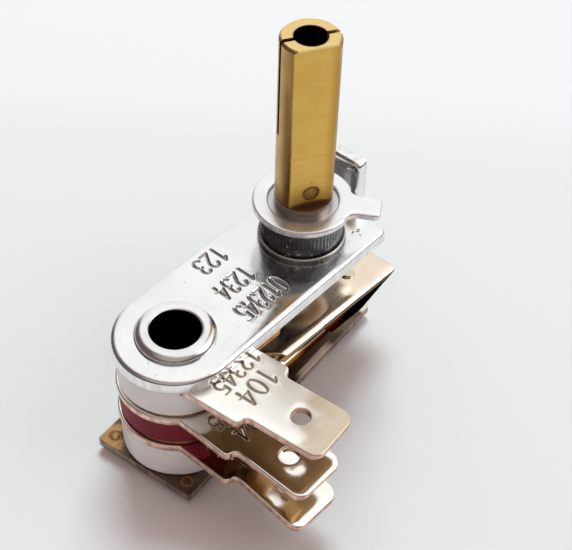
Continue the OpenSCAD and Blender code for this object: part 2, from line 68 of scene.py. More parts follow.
# Levels of the clamped stack, read from the frame
PLATE_T = 1.5
TERMINAL_T = 0.8
LEAF_T = 0.3
ARM_T = 0.45
BIMETAL_T = 1.0
PLATE_Z = span("bracket_plate")[0][2]
PLATE_TOP = PLATE_Z + PLATE_T
UPPER_LEAF_Z = span("upper_ceramic_ring")[0][2] - LEAF_T
LOWER_LEAF_Z = span("red_insulating_ring")[0][2] - LEAF_T
MIDDLE_TERMINAL_Z = UPPER_LEAF_Z - TERMINAL_T
LOWER_TERMINAL_Z = LOWER_LEAF_Z - TERMINAL_T
BIMETAL_Z = span("lower_ceramic_ring")[0][2] - BIMETAL_T
WASHER_Z = span("stop_washer")[0][2]
WASHER_T = span("stop_washer")[1][2] - WASHER_Z

# Radii round the rivet's axis
BORE_R = 2.58
RIVET_R = 3.03
RIM_R = 4.1
RIVET_HOLE_R = 3.08
SLEEVE_HOLE_R = 3.63
RING_R = 6.0

# Bracket plate and its fold-up stop tab
PLATE_HALF_W = 6.4
PLATE_END_X = 25.7
PLATE_CORNER_R = 0.7
FOLD_X = 26.3
FOLD_R = 0.6
TAB_RIGHT_Y = -1.2
TAB_LEFT_Y = 4.4
TAB_RISE = 4.3
TAB_CORNER_R = 0.9
SPINDLE_X = 19.1
BUSHING_HOLE_R = 4.15

# Terminals
NECK_HALF_W = 4.3
NECK_END = 10.3
SHOULDER_R = 0.575
TAB_HALF_W = 3.15
TAB_END = 19.2
TAB_END_R = 1.2
TAB_HOLE_R = 1.0
TAB_HOLE_AT = 15.05
TIP_BEVEL = 0.8
TIP_BEVEL_T = 0.15

# Contact arms and their leaves
FLEX_X = 7.0
TONGUE_HALF_W = 4.0
TONGUE_L = 4.4
ARM_DROP = 0.35
ARM_SLOPE = 3.8
ARM_TAPER = 2.4
SIDE_SLANT = 1.6
UPPER_END_SLANT = 6.0
CONTACT_X = 23.2
CONTACT_Y = 3.3
SHANK_R = 0.6

# Spindle: its flat, its collar and the round mark on the flat
FLAT_NORMAL = (-0.5, -0.866, 0.0)
FLAT_D = 2.0
FLAT_LOW = span("stop_washer")[1][2] + 0.7
SPINDLE_TOP = span("spindle")[1][2]
MARK_AT = (SPINDLE_X + FLAT_NORMAL[0] * FLAT_D, FLAT_NORMAL[1] * FLAT_D, FLAT_LOW + 1.6)

# Bushing round the spindle
BUSHING_R = 4.3
BUSHING_H = 3.55
BUSHING_BORE_R = 3.7
FLANGE_R = 4.65
FLANGE_H = 0.55

# Bimetal strip
BIMETAL_YAW = 4.8
BIMETAL_BACK = 6.1
BIMETAL_FRONT = 27.1
BIMETAL_HALF_W = 6.1
STRIKER_X = 22.4
STRIKER_FOOT_R = 0.85


# Outlines

def arc(x, y, r, start, end, count=24):
    """Points of a circular arc: centre plus r times (cos a, sin a), with a from start to end."""
    a = np.radians(np.linspace(start, end, count))
    return np.c_[x + r * np.cos(a), y + r * np.sin(a)]


def evenly(points, pitch):
    """A closed outline at an even pitch: linear interpolation over the length run from its first point."""
    loop = np.vstack([points, points[:1]])
    run = np.concatenate([[0], np.cumsum(np.linalg.norm(np.diff(loop, axis=0), axis=1))])
    count = max(16, round(run[-1] / pitch))
    at = np.arange(count) / count * run[-1]
    return np.c_[np.interp(at, run, loop[:, 0]), np.interp(at, run, loop[:, 1])]


def softened(loop, reach):
    """An outline with eased corners: each point is the mean of its neighbours up to reach places away."""
    return np.mean([np.roll(loop, k, axis=0) for k in range(-reach, reach + 1)], axis=0)


OUTLINE_PITCH = 0.16


def rounded(parts):
    """One closed outline through all the parts, at the common pitch and with slightly eased corners."""
    return softened(evenly(np.vstack(parts), OUTLINE_PITCH), 1)


def hole(x, y, r, count=64):
    """A round hole as a clockwise loop, so that the sheet lies on its left."""
    return arc(x, y, r, 0, -360, count + 1)[:-1]


def left_normals(loop):
    """Unit normals to the left of a loop: its central differences turned by a quarter turn."""
    step = np.roll(loop, -1, axis=0) - np.roll(loop, 1, axis=0)
    step /= np.linalg.norm(step, axis=1)[:, None]
    return np.c_[-step[:, 1], step[:, 0]]


# Stamped numbers

def oval(x, y, rx, ry, start, end, count=14):
    """A stroke along an ellipse: (x + rx cos a, y + ry sin a)."""
    a = np.radians(np.linspace(start, end, count))
    return np.c_[x + rx * np.cos(a), y + ry * np.sin(a)]


def line(*points):
    """A stroke through the given points."""
    return np.array(points, float)


# Strokes of the digits in a cell 0.6 wide and 1 high
DIGITS = {
    "0": [oval(0.3, 0.5, 0.28, 0.5, 0, 360, 28)],
    "1": [line((0.12, 0.8), (0.36, 1), (0.36, 0))],
    "2": [np.vstack([oval(0.3, 0.72, 0.28, 0.28, 170, -40), line((0.02, 0), (0.6, 0))])],
    "3": [oval(0.28, 0.75, 0.26, 0.25, 150, -90), oval(0.28, 0.26, 0.3, 0.26, 90, -150)],
    "4": [line((0.44, 0), (0.44, 1), (0, 0.32), (0.62, 0.32))],
    "5": [np.vstack([line((0.54, 1), (0.1, 1), (0.06, 0.56)), oval(0.26, 0.32, 0.31, 0.32, 125, -145)])],
}
DIGIT_PITCH = 0.82


def stamped(text, start, right, height, width=1.0):
    """Segments of a row of digits: cell coordinates times height, along right and along its left normal.

    The cells are narrowed by the factor width.
    """
    right = np.array(right, float)
    up = np.array([-right[1], right[0]])
    runs = []
    for place, digit in enumerate(text):
        for stroke in DIGITS.get(digit, []):
            flat = stroke + np.array([place * DIGIT_PITCH, 0])
            points = np.array(start) + height * (width * flat[:, :1] * right + flat[:, 1:] * up)
            runs.append(np.stack([points[:-1], points[1:]], axis=1))
    return np.concatenate(runs)


def away(points, segments):
    """Distance of each point from the nearest of the segments: the foot on each segment is held inside it."""
    a = segments[None, :, 0]
    reach = (segments[:, 1] - segments[:, 0])[None]
    share = ((points[:, None] - a) * reach).sum(2) / (reach ** 2).sum(2)
    foot = a + np.clip(share, 0, 1)[..., None] * reach
    return np.linalg.norm(points[:, None] - foot, axis=2).min(1)


# Sheet pieces

def inside(points, loops):
    """Even-odd test: the crossings of a ray to +X with all the loops' edges, counted for every point."""
    crossings = np.zeros(len(points), int)
    x, y = points[:, :1], points[:, 1:]
    for loop in loops:
        a = loop
        b = np.roll(loop, -1, axis=0)
        straddles = (a[None, :, 1] > y) != (b[None, :, 1] > y)
        rise = np.where(a[:, 1] == b[:, 1], 1, b[:, 1] - a[:, 1])
        at = a[None, :, 0] + (y - a[None, :, 1]) * ((b[:, 0] - a[:, 0]) / rise)[None]
        crossings += (straddles & (x < at)).sum(1)
    return crossings % 2 == 1


def lattice(low, high, pitch):
    """Points of a staggered square grid over a rectangle: every other row is moved by half a pitch."""
    x, y = np.meshgrid(np.arange(low[0], high[0], pitch), np.arange(low[1], high[1], pitch))
    x[::2] += pitch / 2
    return np.c_[x.ravel(), y.ravel()]


def edge_profile(thick, round_low, drop, roll, steps=5):
    """Section of a sheet's edge as (inset, height): a quarter round below, the side, a quarter ellipse above.

    The ellipse drops by drop over an inset of roll, as the edge of a stamped sheet does.
    """
    a = np.linspace(0, math.pi / 2, steps)
    low = np.c_[round_low * (1 - np.sin(a)), round_low * (1 - np.cos(a))]
    top = np.c_[roll * (1 - np.cos(a)), thick - drop * (1 - np.sin(a))]
    return np.vstack([low, top])


# Share of bare sheared metal at each level of that section
SHEARED = np.array([0, 0.4, 0.7, 0.9, 1, 1, 0.5, 0.15, 0, 0])

STAMP_PITCH = 0.075
STAMP_BAND = 0.42


def sheet(outline, holes, thick, round_low, drop, roll, cell, stamps=None):
    """A flat sheet from height 0 to thick, with rounded edges along its outline and its holes.

    The edge section is carried along each loop, inset to the loop's left; roll holds for the
    outline, and the holes have a plain quarter round. The two faces are triangulated over a
    lattice of the given cell, finer along the stamped strokes. Returns the points, the faces,
    the mask of the upper face and the marks, which hold the share of sheared edge and of the
    underside at each point.
    """
    loops = [outline] + holes
    rims = []
    for place, loop in enumerate(loops):
        profile = edge_profile(thick, round_low, drop, drop if place else roll)
        levels = len(profile)
        flat = loop[None] + profile[:, None, :1] * left_normals(loop)[None]
        height = np.broadcast_to(profile[:, None, 1:], (levels, len(loop), 1))
        rims.append(np.concatenate([flat, height], axis=2))
    top_loops = [rim[-1, :, :2] for rim in rims]
    border = np.concatenate(top_loops)

    inner = lattice(outline.min(0), outline.max(0), cell)
    if stamps is not None:
        ends = stamps.reshape(-1, 2)
        fine = lattice(ends.min(0) - STAMP_BAND, ends.max(0) + STAMP_BAND, STAMP_PITCH)
        inner = np.concatenate([
            inner[away(inner, stamps) > STAMP_BAND],
            fine[away(fine, stamps) <= STAMP_BAND],
        ])
    inner = inner[inside(inner, top_loops)]
    clear = np.min([np.linalg.norm(inner - p, axis=1) for p in border], axis=0)
    inner = inner[clear > cell / 3]

    flat = np.concatenate([border, inner])
    edges = []
    begin = 0
    for loop in loops:
        i = np.arange(len(loop))
        edges.append(begin + np.c_[i, np.roll(i, -1)])
        begin += len(loop)
    cut = delaunay_2d_cdt([Vector(p) for p in flat], np.concatenate(edges).tolist(), [], 0, 1e-7)
    triangles = np.array(cut[2])
    triangles = triangles[inside(flat[triangles].mean(1), top_loops)]

    points = [rim.reshape(-1, 3) for rim in rims]
    offsets = np.concatenate([[0], np.cumsum([len(p) for p in points])])
    lower = np.c_[inner, np.zeros(len(inner))]
    upper = np.c_[inner, np.full(len(inner), thick)]
    inner_low = offsets[-1] + np.arange(len(inner))
    inner_top = inner_low + len(inner)
    low_ids, top_ids, faces = [], [], []
    for rim, offset in zip(rims, offsets):
        n = rim.shape[1]
        ids = offset + np.arange(levels * n).reshape(levels, n)
        nxt = np.roll(ids, -1, axis=1)
        faces += np.stack([ids[:-1], nxt[:-1], nxt[1:], ids[1:]], axis=-1).reshape(-1, 4).tolist()
        low_ids.append(ids[0])
        top_ids.append(ids[-1])
    low_ids = np.concatenate(low_ids + [inner_low])
    top_ids = np.concatenate(top_ids + [inner_top])
    faces += top_ids[triangles].tolist()
    faces += low_ids[triangles][:, ::-1].tolist()

    points = np.concatenate(points + [lower, upper])
    on_top = np.zeros(len(points), bool)
    on_top[top_ids] = True
    sheared = [np.repeat(SHEARED, len(loop)) for loop in loops]
    marks = {"sheared": np.concatenate(sheared + [np.zeros(2 * len(inner))]), "under": np.zeros(len(points))}
    marks["under"][low_ids] = 1
    return points, faces, on_top, marks


# Lip beside a pressed stroke: its middle and its width in half widths of the stroke, its share of the depth
LIP_AT = 1.25
LIP_W = 0.3
LIP_SHARE = 0.16


def press(points, on_top, marks, stamps, half_w, depth):
    """Sinks strokes into the upper face: depth (1 - (d / half_w)^2)^2 at distance d, with a low lip.

    The share of full depth is kept in the marks as pressed.
    """
    d = away(points[on_top, :2], stamps) / half_w
    groove = np.where(d < 1, (1 - np.minimum(d, 1) ** 2) ** 2, 0)
    lip = np.exp(-((d - LIP_AT) / LIP_W) ** 2)
    points[on_top, 2] -= depth * (groove - LIP_SHARE * lip)
    pressed = marks.setdefault("pressed", np.zeros(len(points)))
    pressed[on_top] = np.maximum(pressed[on_top], groove)


def turned(points, yaw):
    """Points turned about the Z axis."""
    c, s = math.cos(math.radians(yaw)), math.sin(math.radians(yaw))
    return points @ np.array([[c, s, 0], [-s, c, 0], [0, 0, 1]])


def lathe(profile, count=96, flutes=0, flute_depth=None):
    """A closed section of (radius, height) turned about the Z axis, as points and quads.

    With flutes, each radius is cut by its flute depth times (1 - cos(flutes a)) / 2.
    """
    a = np.linspace(0, 2 * math.pi, count, endpoint=False)
    radius = np.repeat(profile[:, :1], count, axis=1)
    if flutes:
        radius = radius - flute_depth[:, None] * (1 - np.cos(flutes * a)) / 2
    rings = np.stack([
        radius * np.cos(a), radius * np.sin(a),
        np.broadcast_to(profile[:, None, 1], (len(profile), count)),
    ], axis=-1)
    ids = np.arange(len(profile) * count).reshape(len(profile), count)
    nxt = np.roll(ids, -1, axis=1)
    quads = np.stack([ids, nxt, np.roll(nxt, -1, axis=0), np.roll(ids, -1, axis=0)], axis=-1)
    return rings.reshape(-1, 3), quads.reshape(-1, 4).tolist()


SHARP = math.radians(40)


def linked(name, data):
    """A new object with the given data, linked to the scene."""
    made = bpy.data.objects.new(name, data)
    bpy.context.scene.collection.objects.link(made)
    return made


def piece(name, points, faces, material, marks=None):
    """A mesh object in the frame from points in millimetres, shaded smooth up to the sharp angle.

    Each of the marks becomes a point attribute that the finishes can read.
    """
    mesh = bpy.data.meshes.new(name)
    mesh.from_pydata((points * MM).tolist(), [], faces)
    for kind, values in (marks or {}).items():
        mesh.attributes.new(kind, "FLOAT", "POINT").data.foreach_set("value", values)
    mesh.shade_smooth()
    mesh.set_sharp_from_angle(angle=SHARP)
    mesh.materials.append(material)
    made = linked(name, mesh)
    weighted = made.modifiers.new("flat_faces", "WEIGHTED_NORMAL")
    weighted.keep_sharp = True
    return made


def dressed_node(node, material):
    """Gives a CAD node's own object a finish."""
    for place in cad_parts[node].material_slots:
        place.material = material


# Shader helpers

def new_group(name, inputs, outputs):
    """An empty shader node group with the given sockets, as (group, input node, output node)."""
    group = bpy.data.node_groups.new(name, "ShaderNodeTree")
    for socket, kind, value in inputs:
        made = group.interface.new_socket(name=socket, in_out="INPUT", socket_type=kind)
        if value is not None:
            made.default_value = value
    for socket, kind in outputs:
        group.interface.new_socket(name=socket, in_out="OUTPUT", socket_type=kind)
    return group, group.nodes.new("NodeGroupInput"), group.nodes.new("NodeGroupOutput")


def noise(tree, vector, scale, detail, roughness=0.5):
    """A noise texture node on a vector; scale may be a number or a socket."""
    node = tree.nodes.new("ShaderNodeTexNoise")
    node.inputs["Detail"].default_value = detail
    node.inputs["Roughness"].default_value = roughness
    tree.links.new(vector, node.inputs["Vector"])
    if isinstance(scale, (int, float)):
        node.inputs["Scale"].default_value = scale
    else:
        tree.links.new(scale, node.inputs["Scale"])
    return node


def ranged(tree, value, low, high, to_low=0.0, to_high=1.0):
    """A smooth map of a value from low..high to to_low..to_high, clamped."""
    node = tree.nodes.new("ShaderNodeMapRange")
    node.interpolation_type = "SMOOTHSTEP"
    for socket, number in (("From Min", low), ("From Max", high), ("To Min", to_low), ("To Max", to_high)):
        if isinstance(number, (int, float)):
            node.inputs[socket].default_value = number
        else:
            tree.links.new(number, node.inputs[socket])
    tree.links.new(value, node.inputs["Value"])
    return node.outputs["Result"]


def ranged_mm(tree, length, low, high, to_low=0.0, to_high=1.0):
    """A smooth map of a length in metres, whose limits low and high are millimetres."""
    return ranged(tree, length, low * MM, high * MM, to_low, to_high)


def math_node(tree, operation, a, b):
    """A math node on two values, each a number or a socket."""
    node = tree.nodes.new("ShaderNodeMath")
    node.operation = operation
    for socket, value in zip(node.inputs, (a, b)):
        if isinstance(value, (int, float)):
            socket.default_value = value
        else:
            tree.links.new(value, socket)
    return node.outputs[0]


def product(tree, a, b):
    """The product of two values, each a number or a socket."""
    return math_node(tree, "MULTIPLY", a, b)


def mixed(tree, factor, a, b):
    """A colour mix of a and b, each an RGB triple or a socket."""
    node = tree.nodes.new("ShaderNodeMix")
    node.data_type = "RGBA"
    for socket, value in ((node.inputs[0], factor), (node.inputs[6], a), (node.inputs[7], b)):
        if isinstance(value, (int, float)):
            socket.default_value = value
        elif isinstance(value, tuple):
            socket.default_value = (*value, 1)
        else:
            tree.links.new(value, socket)
    return node.outputs[2]


def placed(tree, group, **values):
    """A node group placed in a material with its own values, each a number, a triple or a socket."""
    node = tree.nodes.new("ShaderNodeGroup")
    node.node_tree = group
    for name, value in values.items():
        socket = node.inputs[name.replace("_", " ")]
        if isinstance(value, (int, float)):
            socket.default_value = value
        elif isinstance(value, tuple):
            socket.default_value = (*value, 1) if len(socket.default_value) == 4 else value
        else:
            tree.links.new(value, socket)
    return node


def grain_group():
    """Fine surface grain: two octave bands of noise, the finer one six times smaller."""
    group, given, out = new_group("surface_grain", [
        ("Vector", "NodeSocketVector", None), ("Scale", "NodeSocketFloat", 1500.0),
    ], [("Grain", "NodeSocketFloat"), ("Height", "NodeSocketFloat")])
    coarse = noise(group, given.outputs["Vector"], given.outputs["Scale"], 3)
    fine_scale = product(group, given.outputs["Scale"], 6)
    fine = noise(group, given.outputs["Vector"], fine_scale, 2)
    total = math_node(group, "ADD", product(group, coarse.outputs["Fac"], 0.65),
                      product(group, fine.outputs["Fac"], 0.35))
    group.links.new(ranged(group, total, 0.3, 0.7), out.inputs["Grain"])
    group.links.new(total, out.inputs["Height"])
    return group


def specks_group():
    """Scattered specks: the cores of Voronoi cells, kept where a slow noise is high."""
    group, given, out = new_group("scattered_specks", [
        ("Vector", "NodeSocketVector", None), ("Scale", "NodeSocketFloat", 900.0),
        ("Size", "NodeSocketFloat", 0.18), ("Share", "NodeSocketFloat", 0.5),
    ], [("Mask", "NodeSocketFloat")])
    cells = group.nodes.new("ShaderNodeTexVoronoi")
    group.links.new(given.outputs["Vector"], cells.inputs["Vector"])
    group.links.new(given.outputs["Scale"], cells.inputs["Scale"])
    inner = product(group, given.outputs["Size"], 0.4)
    core = ranged(group, cells.outputs["Distance"], inner, given.outputs["Size"], 1.0, 0.0)
    slow_scale = product(group, given.outputs["Scale"], 0.21)
    slow = noise(group, given.outputs["Vector"], slow_scale, 2)
    edge = math_node(group, "SUBTRACT", 1.0, given.outputs["Share"])
    high = math_node(group, "ADD", edge, 0.08)
    kept = ranged(group, slow.outputs["Fac"], edge, high)
    group.links.new(product(group, core, kept), out.inputs["Mask"])
    return group


def drift_group():
    """Slow drift between two colours, from a noise of about the piece's own size."""
    group, given, out = new_group("colour_drift", [
        ("Vector", "NodeSocketVector", None), ("Scale", "NodeSocketFloat", 150.0),
        ("First", "NodeSocketColor", (1, 1, 1, 1)), ("Second", "NodeSocketColor", (1, 1, 1, 1)),
    ], [("Color", "NodeSocketColor"), ("Mask", "NodeSocketFloat")])
    slow = noise(group, given.outputs["Vector"], given.outputs["Scale"], 3)
    mask = ranged(group, slow.outputs["Fac"], 0.35, 0.65)
    group.links.new(mixed(group, mask, given.outputs["First"], given.outputs["Second"]), out.inputs["Color"])
    group.links.new(mask, out.inputs["Mask"])
    return group


GRAIN = grain_group()
SPECKS = specks_group()
DRIFT = drift_group()


def base_material(name, **sockets):
    """A material with a Principled shader, its fixed values set, and object coordinates at hand."""
    material = bpy.data.materials.new(name)
    material.use_nodes = True
    tree = material.node_tree
    shader = tree.nodes["Principled BSDF"]
    for socket, value in sockets.items():
        shader.inputs[socket.replace("_", " ")].default_value = value
    where = tree.nodes.new("ShaderNodeTexCoord").outputs["Object"]
    return material, tree, shader, where


def bumped(tree, shader, height, distance, strength=1.0):
    """Feeds a height to the shader's normal; distance is in millimetres."""
    bump = tree.nodes.new("ShaderNodeBump")
    bump.inputs["Strength"].default_value = strength
    bump.inputs["Distance"].default_value = distance * MM
    tree.links.new(height, bump.inputs["Height"])
    tree.links.new(bump.outputs["Normal"], shader.inputs["Normal"])


def stretched(tree, vector, scale):
    """Coordinates scaled by a factor along each axis, so that a noise becomes lines."""
    node = tree.nodes.new("ShaderNodeMapping")
    node.inputs["Scale"].default_value = scale
    tree.links.new(vector, node.inputs["Vector"])
    return node.outputs["Vector"]


def mark(tree, name):
    """One of the piece's own marks, nought where the piece has none."""
    node = tree.nodes.new("ShaderNodeAttribute")
    node.attribute_name = name
    return node.outputs["Fac"]


def along(tree, vector, direction):
    """How far a place lies along a direction, in metres."""
    node = tree.nodes.new("ShaderNodeVectorMath")
    node.operation = "DOT_PRODUCT"
    node.inputs[1].default_value = direction
    tree.links.new(vector, node.inputs[0])
    return node.outputs["Value"]


def off(tree, vector, place):
    """Distance of a place from a point given in millimetres, in metres."""
    node = tree.nodes.new("ShaderNodeVectorMath")
    node.operation = "DISTANCE"
    node.inputs[1].default_value = Vector(place) * MM
    tree.links.new(vector, node.inputs[0])
    return node.outputs["Value"]


def from_axis(tree, where, x):
    """Distance of a place from the upright axis at x millimetres, in metres."""
    return off(tree, stretched(tree, where, (1, 1, 0)), (x, 0, 0))


def grained(tree, shader, where, scale, smooth, rough, depth):
    """Fine grain: roughness from smooth to rough, and a bump of the given depth in millimetres."""
    grain = placed(tree, GRAIN, Vector=where, Scale=scale)
    roughness = ranged(tree, grain.outputs["Grain"], 0.0, 1.0, smooth, rough)
    tree.links.new(roughness, shader.inputs["Roughness"])
    bumped(tree, shader, grain.outputs["Height"], depth)


def lined(tree, shader, where, stretch, smooth, rough, depth):
    """Fine tool lines: roughness from smooth to rough, and a bump of the given depth in millimetres."""
    lines = noise(tree, stretched(tree, where, stretch), 1.0, 2)
    roughness = ranged(tree, lines.outputs["Fac"], 0.3, 0.7, smooth, rough)
    tree.links.new(roughness, shader.inputs["Roughness"])
    bumped(tree, shader, lines.outputs["Fac"], depth)


# Materials

def edged(tree, where, colour, edge, edge_dark):
    """A colour with bare metal on the sheared edges, streaked between two tones across the edge."""
    streaks = noise(tree, stretched(tree, where, (1, 1, 0.2)), 1500.0, 2)
    tone = mixed(tree, ranged(tree, streaks.outputs["Fac"], 0.38, 0.62), edge, edge_dark)
    return mixed(tree, ranged(tree, mark(tree, "sheared"), 0.2, 0.75), colour, tone)


def grooved(tree, colour, tone):
    """A colour that is darker in the pressed strokes."""
    return mixed(tree, ranged(tree, mark(tree, "pressed"), 0.1, 0.6, 0.0, 0.9), colour, tone)


def plated_metal(name, light, dark, edge, edge_dark, rough, speck_colour, speck_share, grain_depth,
                 metallic=1.0):
    """Plated sheet metal: drifting tone, grain, specks, stamps darker in their strokes and bare sheared
    edges.

    The bracket plate's lower face is painted dark, as painted shade under the plate.
    """
    material, tree, shader, where = base_material(name, Metallic=metallic)
    drift = placed(tree, DRIFT, Vector=where, Scale=260.0, First=light, Second=dark)
    specks = placed(tree, SPECKS, Vector=where, Scale=1700.0, Size=0.22, Share=speck_share)
    spotted = mixed(tree, specks.outputs["Mask"], drift.outputs["Color"], speck_colour)
    # Painted shade: the bracket plate's lower face is painted dark.
    low = ranged_mm(tree, along(tree, where, (0, 0, 1)), PLATE_Z + 0.15, PLATE_Z + 0.3, 1.0, 0.0)
    underside_painted_dark = mixed(tree, product(tree, mark(tree, "under"), low), spotted, (0.2, 0.18, 0.165))
    worn = grooved(tree, edged(tree, where, underside_painted_dark, edge, edge_dark), (0.36, 0.34, 0.32))
    tree.links.new(worn, shader.inputs["Base Color"])
    grained(tree, shader, where, 1400.0, rough - 0.04, rough + 0.05, grain_depth)
    return material


# Heights between which the nickel's finish changes from the lower tabs' to the upper tab's
TAB_TONE_LOW = 12.0
TAB_TONE_HIGH = 13.5


def nickelled_brass():
    """Thin nickel over brass: pale, with a dark brown underside painted as shade, and copper-coloured edges.

    The upper terminal is less bright than the others and has tan clouds towards its tip.
    """
    material, tree, shader, where = base_material("nickelled_brass")
    drift = placed(tree, DRIFT, Vector=where, Scale=300.0,
                   First=(0.96, 0.94, 0.895), Second=(0.93, 0.9, 0.84))
    clouds = noise(tree, where, 240.0, 4, 0.6)
    tipward = ranged_mm(tree, along(tree, where, (0.8, -1, 0)), 14.5, 18.5, -0.2, 0.25)
    tan = ranged(tree, math_node(tree, "ADD", clouds.outputs["Fac"], tipward), 0.46, 0.74, 0.0, 0.8)
    height = along(tree, where, (0, 0, 1))
    upper = ranged_mm(tree, height, TAB_TONE_LOW, TAB_TONE_HIGH)
    toned = mixed(tree, product(tree, tan, upper), drift.outputs["Color"], (0.52, 0.41, 0.27))
    specks = placed(tree, SPECKS, Vector=where, Scale=2300.0, Size=0.26, Share=0.46)
    spotted = mixed(tree, product(tree, specks.outputs["Mask"], 0.15), toned, (0.42, 0.3, 0.18))
    # Painted shade: the underside is painted dark brown.
    bare = mixed(tree, mark(tree, "under"), spotted, (0.34, 0.2, 0.09))
    cut = edged(tree, where, bare, (0.82, 0.58, 0.46), (0.56, 0.35, 0.25))
    worn = grooved(tree, cut, (0.3, 0.23, 0.15))
    tree.links.new(worn, shader.inputs["Base Color"])
    grain = placed(tree, GRAIN, Vector=where, Scale=1400.0)
    metallic = ranged_mm(tree, height, TAB_TONE_LOW, TAB_TONE_HIGH, 1.0, 0.72)
    tree.links.new(metallic, shader.inputs["Metallic"])
    satin = ranged_mm(tree, height, TAB_TONE_LOW, TAB_TONE_HIGH, 0.12, 0.25)
    fine = ranged(tree, grain.outputs["Grain"], 0.0, 1.0, -0.01, 0.02)
    tree.links.new(math_node(tree, "ADD", satin, fine), shader.inputs["Roughness"])
    bumped(tree, shader, grain.outputs["Height"], 0.0006)
    return material


def spring_arm():
    """Rolled spring bronze: pale tan web; the sides carry a painted dark reflection, amber near the stack and
    black at the end.
    """
    # A dark specular tint dims the grazing reflections of the arm.
    material, tree, shader, where = base_material(
        "spring_arm", Metallic=1.0, Specular_Tint=(0.12, 0.07, 0.04, 1))
    drift = placed(tree, DRIFT, Vector=where, Scale=260.0,
                   First=(0.9, 0.785, 0.64), Second=(0.84, 0.7, 0.54))
    # Painted reflection: the sides go from amber near the stack to near black at the free end.
    run = along(tree, where, (1, 0, 0))
    amber = mixed(tree, ranged_mm(tree, run, 12.5, 14.5), (0.42, 0.2, 0.06), (0.12, 0.045, 0.02))
    dark_painted_reflection = mixed(tree, ranged_mm(tree, run, 16.5, 20.5), amber, (0.007, 0.006, 0.006))
    sides_painted_dark = mixed(tree, ranged(tree, mark(tree, "side"), 0.5, 0.8), drift.outputs["Color"], dark_painted_reflection)
    cut = edged(tree, where, sides_painted_dark, (0.5, 0.32, 0.18), (0.3, 0.18, 0.1))
    tree.links.new(cut, shader.inputs["Base Color"])
    lined(tree, shader, where, (90, 2600, 2600), 0.12, 0.2, 0.002)
    return material


def heat_strip():
    """Bimetal strip: dark oxide and fine rolling lines, tan round one corner.

    A painted light band lies along a length of one edge, and its far end is painted light.
    """
    material, tree, shader, where = base_material("bimetal_strip")
    drift = placed(tree, DRIFT, Vector=where, Scale=330.0,
                   First=(0.16, 0.11, 0.08), Second=(0.085, 0.06, 0.045))
    clouds = noise(tree, where, 520.0, 4, 0.6)
    from_corner = off(tree, where, (-6.2, 5.2, BIMETAL_Z + BIMETAL_T))
    corner = ranged_mm(tree, from_corner, 0.5, 4.2, 0.3, -0.35)
    tan = ranged(tree, math_node(tree, "ADD", clouds.outputs["Fac"], corner), 0.45, 0.72)
    run = along(tree, where, (1, 0, 0))
    yaw = math.radians(BIMETAL_YAW)
    across = along(tree, where, (-math.sin(yaw), math.cos(yaw), 0))
    # Painted light: a pale, less metallic band along part of one edge and a pale far end.
    at_edge = ranged_mm(tree, across, -BIMETAL_HALF_W + 0.5, -BIMETAL_HALF_W + 0.9, 1.0, 0.0)
    starts = ranged_mm(tree, run, 13.0, 15.0)
    ends = ranged_mm(tree, run, 18.8, 20.5, 1.0, 0.0)
    painted_lit_edge = product(tree, at_edge, product(tree, starts, ends))
    bright = math_node(tree, "MAXIMUM", painted_lit_edge, ranged_mm(tree, run, 25.8, 26.4))
    tree.links.new(ranged(tree, bright, 0.0, 1.0, 0.85, 0.15), shader.inputs["Metallic"])
    painted_lit_tone = mixed(tree, bright, drift.outputs["Color"], (0.72, 0.64, 0.54))
    toned = mixed(tree, tan, painted_lit_tone, (0.46, 0.27, 0.12))
    cut = edged(tree, where, toned, (0.34, 0.26, 0.2), (0.2, 0.15, 0.12))
    tree.links.new(grooved(tree, cut, (0.34, 0.16, 0.05)), shader.inputs["Base Color"])
    lined(tree, shader, where, (90, 2400, 2400), 0.26, 0.38, 0.004)
    return material


def rivet_plate():
    """Bright rolled rivet whose bore is painted dark, as painted shade down the hole."""
    material, tree, shader, where = base_material("rivet_plate", Metallic=1.0)
    drift = placed(tree, DRIFT, Vector=where, Scale=400.0, First=(0.87, 0.87, 0.87), Second=(0.8, 0.8, 0.8))
    # Painted shade: the bore's wall is painted near black.
    bore = ranged_mm(tree, from_axis(tree, where, 0), BORE_R + 0.01, BORE_R + 0.08, 1.0, 0.0)
    toned = mixed(tree, bore, drift.outputs["Color"], (0.02, 0.021, 0.026))
    tree.links.new(toned, shader.inputs["Base Color"])
    grained(tree, shader, where, 1400.0, 0.15, 0.24, 0.005)
    return material


def blackened_steel():
    """Blackened turned steel with bright worn flecks and a painted highlight on the flange's corner."""
    material, tree, shader, where = base_material("blackened_steel", Metallic=1.0)
    drift = placed(tree, DRIFT, Vector=where, Scale=420.0,
                   First=(0.12, 0.12, 0.125), Second=(0.07, 0.07, 0.075))
    specks = placed(tree, SPECKS, Vector=where, Scale=1500.0, Size=0.3, Share=0.52)
    spotted = mixed(tree, specks.outputs["Mask"], drift.outputs["Color"], (0.5, 0.49, 0.5))
    # Painted highlight: the flange's upper corner is painted light.
    wide = ranged_mm(tree, from_axis(tree, where, SPINDLE_X), FLANGE_R - 0.16, FLANGE_R - 0.1)
    high = ranged_mm(tree, along(tree, where, (0, 0, 1)), PLATE_TOP + 0.34, PLATE_TOP + 0.4)
    corner = product(tree, wide, high)
    tree.links.new(mixed(tree, corner, spotted, (0.7, 0.65, 0.56)), shader.inputs["Base Color"])
    grained(tree, shader, where, 1800.0, 0.22, 0.36, 0.012)
    return material


def ceramic(name, light, dark, rough, speck_share, gloss):
    """Fired ceramic: faint drift of tone, small pits and a few dark specks."""
    material, tree, shader, where = base_material(name, Specular_IOR_Level=gloss)
    drift = placed(tree, DRIFT, Vector=where, Scale=320.0, First=light, Second=dark)
    specks = placed(tree, SPECKS, Vector=where, Scale=520.0, Size=0.09, Share=speck_share)
    tree.links.new(mixed(tree, specks.outputs["Mask"], drift.outputs["Color"], (0.12, 0.1, 0.09)),
                   shader.inputs["Base Color"])
    grained(tree, shader, where, 2600.0, rough - 0.06, rough + 0.08, 0.012)
    return material


